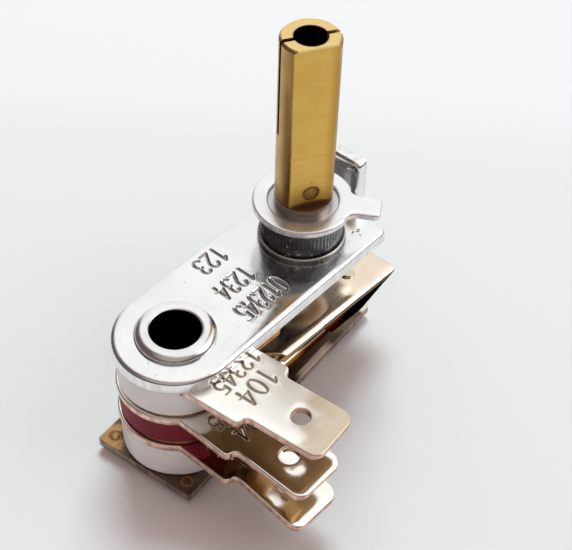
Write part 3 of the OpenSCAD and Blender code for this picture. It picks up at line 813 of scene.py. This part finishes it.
def turned_brass():
    """Drawn brass: milled flat with cross lines, painted brighter than the round side, which is painted
    browner as shade.

    Painted shade darkens the foot, the bore, the collar next to the spindle and a streak on the round side
    beside the flat; the end face is painted lighter, and a dark ring is round the mark on the flat.
    """
    material, tree, shader, where = base_material("turned_brass", Metallic=1.0)
    drift = placed(tree, DRIFT, Vector=where, Scale=240.0, First=(0.7, 0.45, 0.11), Second=(0.64, 0.4, 0.095))
    # Painted shade: the round side takes a browner tone than the flat.
    round_side_shade_tone = placed(tree, DRIFT, Vector=where, Scale=300.0,
                     First=(0.52, 0.33, 0.11), Second=(0.44, 0.265, 0.085))
    facing = along(tree, where, FLAT_NORMAL)
    flat_at = FLAT_D + SPINDLE_X * FLAT_NORMAL[0]
    milled = ranged_mm(tree, facing, flat_at - 0.16, flat_at - 0.02)
    height = along(tree, where, (0, 0, 1))
    end_face = ranged_mm(tree, height, SPINDLE_TOP - 0.3, SPINDLE_TOP - 0.05)
    bright = math_node(tree, "MAXIMUM", milled, end_face)
    # Painted shade: a dark streak on the round side beside the flat.
    shade = noise(tree, stretched(tree, where, (500, 500, 60)), 1.0, 3)
    beside = ranged_mm(tree, facing, flat_at - 1.5, flat_at - 0.5)
    painted_dark_streak = product(tree, beside, ranged(tree, shade.outputs["Fac"], 0.3, 0.55, 0.35, 0.9))
    sides_painted_dark = mixed(tree, painted_dark_streak, round_side_shade_tone.outputs["Color"], (0.19, 0.095, 0.025))
    across = along(tree, where, (-FLAT_NORMAL[1], FLAT_NORMAL[0], 0))
    edge_at = -FLAT_NORMAL[1] * SPINDLE_X
    right_edge = ranged_mm(tree, across, edge_at + 1.1, edge_at + 2.2, 0.0, 0.8)
    worn = product(tree, right_edge, ranged(tree, shade.outputs["Fac"], 0.35, 0.6))
    face = mixed(tree, worn, drift.outputs["Color"], (0.47, 0.25, 0.06))
    # Painted light: the end face is painted lighter, and the flat and the end face take the brighter tone.
    top_lit = mixed(tree, end_face, face, (0.84, 0.62, 0.26))
    toned = mixed(tree, bright, sides_painted_dark, top_lit)
    specks = placed(tree, SPECKS, Vector=where, Scale=1100.0, Size=0.16, Share=0.46)
    spotted = mixed(tree, specks.outputs["Mask"], toned, (0.3, 0.16, 0.05))
    from_mark = off(tree, where, MARK_AT)
    ring_in = ranged_mm(tree, from_mark, 0.52, 0.8)
    ring_out = ranged_mm(tree, from_mark, 0.9, 1.1, 1.0, 0.0)
    upper = ranged_mm(tree, height, MARK_AT[2] - 0.3, MARK_AT[2] + 0.5, 0.15, 0.95)
    ring = product(tree, product(tree, ring_in, ring_out), upper)
    marked = mixed(tree, ring, spotted, (0.16, 0.06, 0.015))
    # Painted shade: darker at the foot of the flat, above the washer.
    foot_shade = ranged_mm(tree, height, FLAT_LOW + 0.1, FLAT_LOW + 0.75, 0.85, 0.0)
    foot_painted_dark = mixed(tree, foot_shade, marked, (0.2, 0.075, 0.03))
    collar = ranged_mm(tree, height, FLAT_LOW + 0.02, FLAT_LOW + 0.1, 1.0, 0.0)
    out = from_axis(tree, where, SPINDLE_X)
    # Painted shade: the collar is dark next to the spindle and light grey at its rim.
    collar_shade = mixed(tree, ranged_mm(tree, out, 2.5, 3.4), (0.26, 0.165, 0.12), (0.62, 0.6, 0.585))
    based = mixed(tree, collar, foot_painted_dark, collar_shade)
    # Painted shade: dark in the bore.
    bore_painted_dark = mixed(tree, ranged_mm(tree, out, 1.62, 1.8, 1.0, 0.0), based, (0.03, 0.015, 0.006))
    tree.links.new(bore_painted_dark, shader.inputs["Base Color"])
    lined(tree, shader, where, (140, 140, 5200), 0.26, 0.38, 0.002)
    return material


MATERIALS = {
    "zinc": plated_metal(
        "zinc_plate", light=(0.88, 0.895, 0.9), dark=(0.83, 0.845, 0.85),
        edge=(0.9, 0.9, 0.89), edge_dark=(0.77, 0.77, 0.76), rough=0.17,
        speck_colour=(0.42, 0.4, 0.37), speck_share=0.4, grain_depth=0.005),
    "washer": plated_metal(
        "washer_plate", light=(0.91, 0.91, 0.9), dark=(0.86, 0.86, 0.85),
        edge=(0.8, 0.79, 0.78), edge_dark=(0.66, 0.65, 0.64), rough=0.31,
        speck_colour=(0.5, 0.46, 0.42), speck_share=0.2, grain_depth=0.0006, metallic=0.85),
    "leaf": plated_metal(
        "spring_leaf", light=(0.66, 0.44, 0.24), dark=(0.54, 0.34, 0.17),
        edge=(0.4, 0.23, 0.11), edge_dark=(0.3, 0.17, 0.08), rough=0.2,
        speck_colour=(0.2, 0.12, 0.06), speck_share=0.42, grain_depth=0.004),
    "silver": plated_metal(
        "contact_silver", light=(0.8, 0.72, 0.6), dark=(0.7, 0.61, 0.48),
        edge=(0.7, 0.6, 0.46), edge_dark=(0.6, 0.5, 0.4), rough=0.26,
        speck_colour=(0.4, 0.32, 0.24), speck_share=0.42, grain_depth=0.006),
    "screw": plated_metal(
        "screw_steel", light=(0.5, 0.5, 0.5), dark=(0.4, 0.4, 0.4),
        edge=(0.5, 0.5, 0.5), edge_dark=(0.4, 0.4, 0.4), rough=0.32,
        speck_colour=(0.2, 0.19, 0.18), speck_share=0.42, grain_depth=0.006),
    "nickel": nickelled_brass(),
    "arm": spring_arm(),
    "bimetal": heat_strip(),
    "rivet": rivet_plate(),
    "bushing": blackened_steel(),
    "brass": turned_brass(),
    "white": ceramic("white_ceramic", (0.77, 0.765, 0.755), (0.71, 0.705, 0.695),
                     rough=0.42, speck_share=0.4, gloss=0.4),
    "ivory": ceramic("ivory_ceramic", (0.78, 0.74, 0.66), (0.72, 0.68, 0.6),
                     rough=0.45, speck_share=0.38, gloss=0.4),
    "red": ceramic("red_insulator", (0.22, 0.015, 0.034), (0.165, 0.011, 0.025),
                   rough=0.5, speck_share=0.3, gloss=0.15),
    "mica": ceramic("mica_sleeve", (0.55, 0.47, 0.36), (0.48, 0.4, 0.3),
                    rough=0.4, speck_share=0.45, gloss=0.4),
}


# Pieces

def plate_outline():
    """The plate laid flat: a half round, two sides, rounded far corners and the unfolded stop tab."""
    end = FOLD_X + (FOLD_R + PLATE_T / 2) * math.pi / 2 + TAB_RISE
    corner_x = PLATE_END_X - PLATE_CORNER_R
    corner_y = PLATE_HALF_W - PLATE_CORNER_R
    tab_x = end - TAB_CORNER_R
    return rounded([
        arc(0, 0, PLATE_HALF_W, 90, 270, 90),
        arc(corner_x, -corner_y, PLATE_CORNER_R, -90, 0),
        [(PLATE_END_X, TAB_RIGHT_Y)],
        arc(tab_x, TAB_RIGHT_Y + TAB_CORNER_R, TAB_CORNER_R, -90, 0),
        arc(tab_x, TAB_LEFT_Y - TAB_CORNER_R, TAB_CORNER_R, 0, 90),
        [(PLATE_END_X, TAB_LEFT_Y)],
        arc(corner_x, corner_y, PLATE_CORNER_R, 0, 90),
    ])


def folded_up(points):
    """Turns what lies past the fold line up: a quarter arc of the sheet's middle, then a straight wall."""
    middle_r = FOLD_R + PLATE_T / 2
    past = np.maximum(points[:, 0] - FOLD_X, 0)
    a = np.minimum(past / middle_r, math.pi / 2)
    above = points[:, 2] - PLATE_T / 2
    x = np.minimum(points[:, 0], FOLD_X) + middle_r * np.sin(a) - above * np.sin(a)
    rise = middle_r * (1 - np.cos(a)) + np.maximum(past - middle_r * math.pi / 2, 0)
    return np.c_[x, points[:, 1], PLATE_T / 2 + rise + above * np.cos(a)]


def crease():
    """A short tool mark near the top of the stop tab's inner face."""
    wall = FOLD_X + (FOLD_R + PLATE_T / 2) * math.pi / 2
    return np.array([[(wall + 3.1, 0.5), (wall + 3.75, -0.75)]])


def pits():
    """A few short nicks beside the bushing."""
    starts = np.array([(22.7, -3.9), (23.3, -4.3), (23.55, -4.05), (22.95, -4.8), (23.15, -4.15)])
    ends = starts + [(0.3, 0.05), (0.12, 0.25), (0.05, -0.1), (0.1, 0.08), (0.35, 0.1)]
    return np.stack([starts, ends], axis=1)


def make_plate():
    """The bracket plate with its stamped numbers and fold-up stop tab."""
    rows = [("123", (11.4, 5.4), 0.72), ("1234", (11.2, 1.46), 0.66), ("012345", (12.3, -1.95), 0.6)]
    digit_h = 2.2
    strokes = [stamped(text, start, (-1, 0), digit_h, width) for text, start, width in rows]
    stamps = np.concatenate(strokes)
    nicks = np.concatenate([crease(), pits()])
    points, faces, on_top, marks = sheet(
        plate_outline(), [hole(0, 0, RIVET_HOLE_R), hole(SPINDLE_X, 0, BUSHING_HOLE_R)],
        PLATE_T, round_low=0.1, drop=0.42, roll=0.62, cell=0.8, stamps=np.concatenate([stamps, nicks]))
    press(points, on_top, marks, stamps, half_w=0.21, depth=0.13)
    press(points, on_top, marks, nicks, half_w=0.11, depth=0.06)
    points = folded_up(points) + [0, 0, PLATE_Z]
    made = piece("bracket_plate_dressed", points, faces, MATERIALS["zinc"], marks)
    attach(made, "frame")
    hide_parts("bracket_plate")


def terminal_outline(head_r):
    """A terminal laid flat: round head, neck, two-arc shoulders and a tab with rounded corners."""
    out = math.degrees(math.acos(NECK_HALF_W / head_r)) if head_r > NECK_HALF_W else 0
    step_x = TAB_HALF_W + SHOULDER_R
    low = NECK_END + SHOULDER_R
    tip_x = TAB_HALF_W - TAB_END_R
    tip_y = TAB_END - TAB_END_R
    right = np.vstack([
        arc(tip_x, -tip_y, TAB_END_R, -90, 0),
        arc(step_x, -low - SHOULDER_R, SHOULDER_R, 180, 90, 10),
        arc(step_x, -NECK_END, SHOULDER_R, -90, 0, 10),
    ])
    left = right[::-1] * [-1, 1]
    return rounded([right, arc(0, 0, head_r, -out, 180 + out, 90), left])


def bent_down(points, bend_at, bend, reach=1.2):
    """Bends a tab down: the angle grows evenly over reach past the bend line, then stays."""
    past = np.maximum(-points[:, 1] - bend_at + reach / 2, 0)
    full = math.radians(bend)
    share = np.minimum(past / reach, 1)
    a = full * share
    curl = reach / max(full, 1e-6)
    forward = curl * np.sin(a) + np.maximum(past - reach, 0) * math.cos(full)
    drop = curl * (1 - np.cos(a)) + np.maximum(past - reach, 0) * math.sin(full)
    above = points[:, 2] - TERMINAL_T
    y = np.maximum(points[:, 1], -bend_at + reach / 2) - forward + above * np.sin(a)
    return np.c_[points[:, 0], y, TERMINAL_T - drop + above * np.cos(a)]


def make_terminal(node, head_r, z, yaw, bend_at, bend, rows):
    """One push-on terminal: bevelled tip, stamped numbers, bend and turn about the rivet."""
    strokes = [stamped(text, start, (-1, 0), height, width) for text, start, height, width in rows]
    stamps = np.concatenate(strokes)
    points, faces, on_top, marks = sheet(
        terminal_outline(head_r), [hole(0, 0, SLEEVE_HOLE_R), hole(0, -TAB_HOLE_AT, TAB_HOLE_R, 40)],
        TERMINAL_T, round_low=0.07, drop=0.13, roll=0.2, cell=0.8, stamps=stamps)
    press(points, on_top, marks, stamps, half_w=0.2, depth=0.11)
    tip = np.clip((-points[:, 1] - TAB_END + TIP_BEVEL) / TIP_BEVEL, 0, 1)
    points[:, 2] += TIP_BEVEL_T * tip * (1 - 2 * points[:, 2] / TERMINAL_T)
    if bend:
        points = bent_down(points, bend_at, bend)
    points = turned(points, yaw) + [0, 0, z]
    made = piece(node + "_dressed", points, faces, MATERIALS["nickel"], marks)
    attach(made, "frame")
    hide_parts(node)


def make_washer():
    """The stop washer: a ring whose nose joins it with two hollow fillets."""
    washer_r = 5.3
    washer_hole_r = 3.68
    nose_half = 1.425
    reach = 8.1
    corner_r = 0.6
    fillet_r = 1.3
    nose_dir = -58
    fillet_y = nose_half + fillet_r
    fillet_x = math.sqrt((washer_r - 0.2 + fillet_r) ** 2 - fillet_y ** 2)
    root = math.degrees(math.atan2(fillet_y, fillet_x))
    half = np.vstack([
        arc(reach - corner_r, nose_half - corner_r, corner_r, 0, 90),
        arc(fillet_x, fillet_y, fillet_r, 270, 183 + root),
        arc(0, 0, washer_r, root + 3, 180, 90),
    ])
    outline = rounded([half, half[::-1] * [1, -1]])
    points, faces, _, marks = sheet(
        outline, [hole(0, 0, washer_hole_r)], WASHER_T, round_low=0.12, drop=0.22, roll=0.3, cell=0.8)
    points = turned(points, nose_dir) + [SPINDLE_X, 0, WASHER_Z]
    made = piece("stop_washer_dressed", points, faces, MATERIALS["washer"], marks)
    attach(made, "spindle_body")
    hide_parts("stop_washer")


def leaf_outline():
    """A leaf spring laid flat: a ring in the stack and a straight tongue."""
    leaf_r = RING_R - 0.25
    out = math.degrees(math.asin(TONGUE_HALF_W / leaf_r))
    end = FLEX_X + TONGUE_L
    return rounded([
        [(end, -TONGUE_HALF_W), (end, TONGUE_HALF_W)],
        arc(0, 0, leaf_r, out, 360 - out, 90),
    ])


def sloped(points, slope, top):
    """Turns what lies past the bending line down by the slope, about the line at height top."""
    c, s = math.cos(math.radians(slope)), math.sin(math.radians(slope))
    past = points[:, 0] - FLEX_X
    above = points[:, 2] - top
    beyond = past > 0
    x = np.where(beyond, FLEX_X + past * c + above * s, points[:, 0])
    z = np.where(beyond, top - past * s + above * c, points[:, 2])
    return np.c_[x, points[:, 1], z]


def make_leaf(node, z, slope):
    """One leaf spring between the stack and its contact arm, turned down past the bending line by its slope.
    """
    points, faces, _, marks = sheet(
        leaf_outline(), [hole(0, 0, SLEEVE_HOLE_R)], LEAF_T,
        round_low=0.04, drop=0.06, roll=0.06, cell=0.5)
    points = sloped(points, slope, LEAF_T) + [0, 0, z]
    made = piece(node + "_dressed", points, faces, MATERIALS["leaf"], marks)
    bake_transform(made)
    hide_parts(node)


def arm_outline(length, half_w, side_h, bend_r, side_from, slant_out):
    """A channel arm laid flat: a tapered web and the two sides before they are folded down."""
    web = half_w - bend_r / 4
    bend_end = half_w - bend_r + (bend_r - ARM_T / 2) * math.pi / 2
    full = bend_end + side_h - bend_r
    left = np.array([
        (length, web), (length - slant_out * bend_r / side_h, bend_end), (length - slant_out, full),
        (side_from + SIDE_SLANT, full), (side_from, web), (ARM_TAPER, web), (0, TONGUE_HALF_W),
    ])
    return rounded([left, left[::-1] * [1, -1]])


def folded_down(points, half_w, bend_r):
    """Folds the sides of a channel: an arc of the sheet's middle past the flat web, then straight down."""
    middle_r = bend_r - ARM_T / 2
    flat_half = half_w - bend_r
    side = np.sign(points[:, 1])
    past = np.maximum(np.abs(points[:, 1]) - flat_half, 0)
    a = np.minimum(past / middle_r, math.pi / 2)
    above = points[:, 2] - ARM_T / 2
    y = np.minimum(np.abs(points[:, 1]), flat_half) + (middle_r + above) * np.sin(a)
    z = (middle_r + above) * np.cos(a) - middle_r - np.maximum(past - middle_r * math.pi / 2, 0)
    return np.c_[points[:, 0], side * y, ARM_T / 2 + z], a / (math.pi / 2)


def make_arm(node, body, z, slope, length, half_w, side_h, bend_r, side_from, slant_out, contact_u):
    """One contact arm: a folded channel hung under its leaf, turned down by its slope.

    The share of a full fold is kept in the marks as side.
    """
    holes = [hole(contact_u, side * CONTACT_Y, SHANK_R, 32) for side in (-1, 1)]
    points, faces, _, marks = sheet(
        arm_outline(length, half_w, side_h, bend_r, side_from, slant_out), holes, ARM_T,
        round_low=0.08, drop=0.1, roll=0.1, cell=0.4)
    points, marks["side"] = folded_down(points, half_w, bend_r)
    points = sloped(points + [FLEX_X, 0, -ARM_DROP - ARM_T], slope, 0) + [0, 0, z + LEAF_T]
    made = piece(node + "_dressed", points, faces, MATERIALS["arm"], marks)
    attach(made, body)
    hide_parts(node)


def make_bimetal():
    """The bimetal strip with its small corner dimples."""
    r = 0.3
    dimple_r = 0.55
    dimple_x = -BIMETAL_BACK + 1.3
    dimple_y = 4.8
    corners = [(BIMETAL_FRONT - r, BIMETAL_HALF_W - r, 0), (-BIMETAL_BACK + r, BIMETAL_HALF_W - r, 90),
               (-BIMETAL_BACK + r, -BIMETAL_HALF_W + r, 180), (BIMETAL_FRONT - r, -BIMETAL_HALF_W + r, 270)]
    outline = np.vstack([arc(x, y, r, start, start + 90, 8) for x, y, start in corners])
    striker = turned(np.array([[STRIKER_X, 0, 0]]), -BIMETAL_YAW)[0]
    rings = np.concatenate([
        np.stack([ring[:-1], ring[1:]], axis=1)
        for ring in (arc(dimple_x, y, dimple_r, 0, 360, 24) for y in (-dimple_y, dimple_y))
    ])
    points, faces, on_top, marks = sheet(
        evenly(outline, OUTLINE_PITCH),
        [hole(0, 0, RIVET_HOLE_R), hole(striker[0], striker[1], STRIKER_FOOT_R, 32)],
        BIMETAL_T, round_low=0.06, drop=0.08, roll=0.08, cell=0.8, stamps=rings)
    press(points, on_top, marks, rings, half_w=0.25, depth=0.08)
    points = turned(points, BIMETAL_YAW) + [0, 0, BIMETAL_Z]
    made = piece("bimetal_strip_dressed", points, faces, MATERIALS["bimetal"], marks)
    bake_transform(made)
    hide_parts("bimetal_strip")


def make_rivet():
    """The hollow rivet: bore, flat head below and a rolled rim above, turned from one section.

    The rim is a quarter ellipse outside, as high as half its width, and a flatter one down into the bore.
    """
    rim_h = (RIM_R - BORE_R) / 2
    crown_r = 3.2
    mouth_h = 0.2
    rim_foot = 0.03
    head_edge_r = 0.35
    a = np.radians(np.linspace(0, 90, 14))
    rise = rim_foot + (rim_h - rim_foot) * np.sin(a)
    outer = np.c_[crown_r + (RIM_R - crown_r) * np.cos(a), PLATE_TOP + rise]
    inner = np.c_[crown_r - (crown_r - BORE_R) * np.sin(a), PLATE_TOP + rim_h - mouth_h * (1 - np.cos(a))]
    head_h = BIMETAL_Z
    section = np.vstack([
        [(BORE_R, 0.0)],
        arc(RIM_R - head_edge_r, head_edge_r, head_edge_r, -90, 0, 8),
        [(RIM_R, head_h), (RIVET_R, head_h), (RIVET_R, PLATE_TOP), (RIM_R - 0.06, PLATE_TOP + 0.01)],
        outer,
        inner[1:],
    ])
    points, faces = lathe(section)
    made = piece("hollow_rivet_dressed", points, faces, MATERIALS["rivet"])
    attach(made, "frame")
    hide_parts("hollow_rivet")


def make_bushing():
    """The turned bushing: a collar through the plate, a low flange and a body with fine flutes round it."""
    top = PLATE_TOP + BUSHING_H
    flange_top = PLATE_TOP + FLANGE_H
    lip_r = 4.375
    lip_z = PLATE_Z - 0.5
    neck_r = BUSHING_HOLE_R - 0.05
    edge_r = 0.25
    flange_edge_r = 0.18
    flutes = 64
    flute_depth = 0.08
    flute_levels = 8
    flute_fade = 0.15
    body_z = np.linspace(flange_top + 0.7, top - 0.35, flute_levels)
    section = np.vstack([
        [(BUSHING_BORE_R, lip_z)],
        arc(lip_r - edge_r, lip_z + edge_r, edge_r, -90, 0, 6),
        [(lip_r, PLATE_Z), (neck_r, PLATE_Z), (neck_r, PLATE_TOP), (FLANGE_R, PLATE_TOP)],
        arc(FLANGE_R - flange_edge_r, flange_top - flange_edge_r, flange_edge_r, 0, 90, 6),
        [(BUSHING_R, flange_top), (BUSHING_R, flange_top + 0.6)],
        np.c_[np.full(flute_levels, BUSHING_R), body_z],
        arc(BUSHING_R - edge_r, top - edge_r, edge_r, 0, 90, 6),
        [(BUSHING_BORE_R, top)],
    ])
    depth = np.zeros(len(section))
    cut = np.isin(section[:, 1], body_z) & (section[:, 0] == BUSHING_R)
    depth[cut] = flute_depth * np.sin(np.linspace(flute_fade, math.pi - flute_fade, flute_levels))
    points, faces = lathe(section, 6 * flutes, flutes, depth)
    points = points + [SPINDLE_X, 0, 0]
    made = piece("spindle_bushing_dressed", points, faces, MATERIALS["bushing"])
    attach(made, "frame")
    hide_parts("spindle_bushing")


def softened_copy(node, material, body, width):
    """A CAD node's own form with eased edges: a merged copy whose sharp edges get a small bevel."""
    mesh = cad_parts[node].data.copy()
    mesh.name = node + "_dressed"
    form = bmesh.new()
    form.from_mesh(mesh)
    bmesh.ops.remove_doubles(form, verts=form.verts, dist=1e-7)
    bmesh.ops.dissolve_limit(form, angle_limit=math.radians(0.4), verts=form.verts, edges=form.edges)
    form.to_mesh(mesh)
    form.free()
    if "custom_normal" in mesh.attributes:
        mesh.attributes.remove(mesh.attributes["custom_normal"])
    mesh.shade_smooth()
    mesh.set_sharp_from_angle(angle=SHARP)
    mesh.materials.clear()
    mesh.materials.append(material)
    made = linked(node + "_dressed", mesh)
    bevel = made.modifiers.new("eased_edges", "BEVEL")
    bevel.width = width * MM
    bevel.segments = 2
    bevel.limit_method = "ANGLE"
    bevel.angle_limit = math.radians(35)
    bevel.harden_normals = True
    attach(made, body)
    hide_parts(node)


# Stamped rows of the terminals: digits, start, height and width factor
UPPER_ROWS = [("12345", (3.7, -6.1), 1.7, 0.89), ("104", (2.7, -8.5), 2.25, 0.88)]
LOWER_ROWS = [("12345", (3.3, -6.5), 1.7, 0.89), ("104", (2.7, -8.7), 2.25, 0.88)]

make_plate()
make_terminal("upper_terminal", head_r=NECK_HALF_W, z=PLATE_Z - TERMINAL_T,
              yaw=5, bend_at=0, bend=0, rows=UPPER_ROWS)
make_terminal("middle_terminal", head_r=RING_R + 0.22, z=MIDDLE_TERMINAL_Z,
              yaw=-0.8, bend_at=7.5, bend=2, rows=LOWER_ROWS)
make_terminal("lower_terminal", head_r=RING_R + 0.22, z=LOWER_TERMINAL_Z,
              yaw=-1.2, bend_at=11.6, bend=10, rows=LOWER_ROWS)
make_washer()
make_bushing()
make_leaf("upper_leaf_spring", UPPER_LEAF_Z, ARM_SLOPE)
make_leaf("lower_leaf_spring", LOWER_LEAF_Z, 0)
make_arm("upper_contact_arm", "upper_arm_body", UPPER_LEAF_Z, ARM_SLOPE,
         length=20.9, half_w=6.75, side_h=2.2, bend_r=0.85,
         side_from=8.2, slant_out=UPPER_END_SLANT, contact_u=16.26)
make_arm("lower_contact_arm", "lower_arm_body", LOWER_LEAF_Z, 0,
         length=18.4, half_w=5.1, side_h=1.2, bend_r=0.7,
         side_from=3, slant_out=SIDE_SLANT, contact_u=CONTACT_X - FLEX_X)
make_bimetal()
make_rivet()
softened_copy("spindle", MATERIALS["brass"], "spindle_body", width=0.07)

# Nodes that show their own solid, and their finishes
PLAIN_NODES = {
    "calibration_screw": "screw",
    "push_pin": "ivory",
    "striker_pin": "ivory",
    "insulating_sleeve": "mica",
    "upper_ceramic_ring": "white",
    "lower_ceramic_ring": "white",
    "red_insulating_ring": "red",
    "upper_contacts": "silver",
    "lower_contacts": "silver",
}
for node, finish in PLAIN_NODES.items():
    dressed_node(node, MATERIALS[finish])


# Camera, at the photograph's place

PHOTO_W = 572
FOCAL_PX = 1347.29
SENSOR_MM = 36
CAMERA_AT = (-61.10, -63.29, 115.45)
CAMERA_RIGHT = Vector((0.6514, -0.7583, 0.0266))
CAMERA_FORWARD = Vector((0.5412, 0.4399, -0.7167))


def make_camera():
    """The camera from its place, its forward direction and its right-hand direction."""
    data = bpy.data.cameras.new("photo_view")
    data.sensor_width = SENSOR_MM
    data.lens = FOCAL_PX / PHOTO_W * SENSOR_MM
    data.clip_start = 0.01
    data.clip_end = 20
    back = -CAMERA_FORWARD.normalized()
    right = (CAMERA_RIGHT - back * CAMERA_RIGHT.dot(back)).normalized()
    up = back.cross(right)
    camera = linked("photo_view", data)
    turn = Matrix((right, up, back)).transposed().to_4x4()
    camera.matrix_world = Matrix.Translation(Vector(CAMERA_AT) * MM) @ turn
    bpy.context.scene.camera = camera


# Floor, lamps and surroundings

FAR = Vector((CAMERA_FORWARD.x, CAMERA_FORWARD.y, 0)).normalized()
RIGHT = Vector((CAMERA_RIGHT.x, CAMERA_RIGHT.y, 0)).normalized()
UP = Vector((0, 0, 1))

# What the camera sees of the surroundings
PALE = (0.86, 0.865, 0.875)

# Even light on the object, and the zones of the room that the metal mirrors
EVEN_LIGHT = (0.5, 0.385, 0.375)
DIM_ROOM = (0.13, 0.1, 0.095)
BEHIND_VIEWER = (0.42, 0.37, 0.35)
FAR_CAP = (1.1, 1.08, 1.07)
WINDOW = (2.4, 2.4, 2.4)
WALL = (1.0, 1.0, 1.0)


def make_floor():
    """A wide pale floor, a little lighter past a line behind the object, that is even and pale far off."""
    material, tree, shader, where = base_material(
        "pale_floor", Roughness=0.75, Specular_IOR_Level=0.15, Emission_Strength=1.0)
    beyond = ranged_mm(tree, along(tree, where, FAR), 45, 62)
    near = mixed(tree, beyond, (0.785, 0.785, 0.788), (0.825, 0.827, 0.84))
    path = tree.nodes.new("ShaderNodeLightPath")
    seen = math_node(tree, "MAXIMUM", path.outputs["Is Camera Ray"], path.outputs["Is Glossy Ray"])
    far_off = product(tree, seen, ranged_mm(tree, off(tree, where, (0, 0, 0)), 120, 400))
    tree.links.new(mixed(tree, far_off, near, (0, 0, 0)), shader.inputs["Base Color"])
    tree.links.new(mixed(tree, far_off, (0, 0, 0), PALE), shader.inputs["Emission Color"])
    grain = placed(tree, GRAIN, Vector=where, Scale=700.0)
    bumped(tree, shader, grain.outputs["Height"], 0.01)
    half = 2.0
    corners = [(-half, -half, 0), (half, -half, 0), (half, half, 0), (-half, half, 0)]
    mesh = bpy.data.meshes.new("floor")
    mesh.from_pydata(corners, [], [(0, 1, 2, 3)])
    mesh.materials.append(material)
    floor = linked("floor", mesh)


def make_lamp(name, direction, distance, size, power, colour):
    """A square soft lamp that looks at the middle of the object; sizes in metres, power in watts.

    It isn't mirrored: the metal shows the surroundings instead.
    """
    data = bpy.data.lights.new(name, "AREA")
    data.shape = "RECTANGLE"
    data.size, data.size_y = size
    data.energy = power
    data.color = colour
    lamp = linked(name, data)
    lamp.visible_glossy = False
    middle = Vector((0.01, -0.002, 0.012))
    towards = Vector(direction).normalized()
    lamp.location = middle + towards * distance
    lamp.rotation_mode = "QUATERNION"
    lamp.rotation_quaternion = towards.to_track_quat("Z", "Y")


def zone(tree, direction, towards, low, high):
    """Share of a soft round zone: 0 to 1 as the cosine of the angle off its middle goes from low to high."""
    return ranged(tree, along(tree, direction, towards.normalized()), low, high)


def make_world():
    """Soft surroundings: even warm light on the object and a pale ground for the camera.

    The metal mirrors a dim room with a bright far cap, a pale wall, a window to the right and
    some light behind the viewer.
    """
    world = bpy.data.worlds.new("soft_room")
    bpy.context.scene.world = world
    world.use_nodes = True
    tree = world.node_tree
    background = tree.nodes["Background"]
    direction = tree.nodes.new("ShaderNodeTexCoord").outputs["Generated"]
    behind = zone(tree, direction, FAR * -0.5 + UP * 0.87, 0.7, 0.95)
    cap = zone(tree, direction, FAR * 0.55 + RIGHT * 0.3 + UP * 0.8, 0.62, 0.86)
    pane = zone(tree, direction, FAR * 0.05 + RIGHT * 0.8 + UP * 0.6, 0.92, 0.97)
    backdrop = zone(tree, direction, FAR + UP * 0.3, 0.8, 0.92)
    mirrored = mixed(tree, behind, DIM_ROOM, BEHIND_VIEWER)
    for share, light in ((cap, FAR_CAP), (pane, WINDOW), (backdrop, WALL)):
        mirrored = mixed(tree, share, mirrored, light)
    path = tree.nodes.new("ShaderNodeLightPath")
    shown = mixed(tree, path.outputs["Is Camera Ray"], EVEN_LIGHT, PALE)
    tree.links.new(mixed(tree, path.outputs["Is Glossy Ray"], shown, mirrored), background.inputs["Color"])
    background.inputs["Strength"].default_value = 1.0


make_camera()
make_floor()
make_lamp("far_window", FAR * 0.57 + RIGHT * 0.03 + UP, distance=0.9, size=(0.36, 0.36), power=5.9,
          colour=(0.79, 0.99, 1.0))
make_lamp("right_fill", FAR * -0.1 + RIGHT + UP, distance=0.8, size=(0.5, 0.5), power=0.95,
          colour=(1.0, 0.96, 0.98))
make_world()
bpy.context.scene.view_settings.view_transform = "Standard"
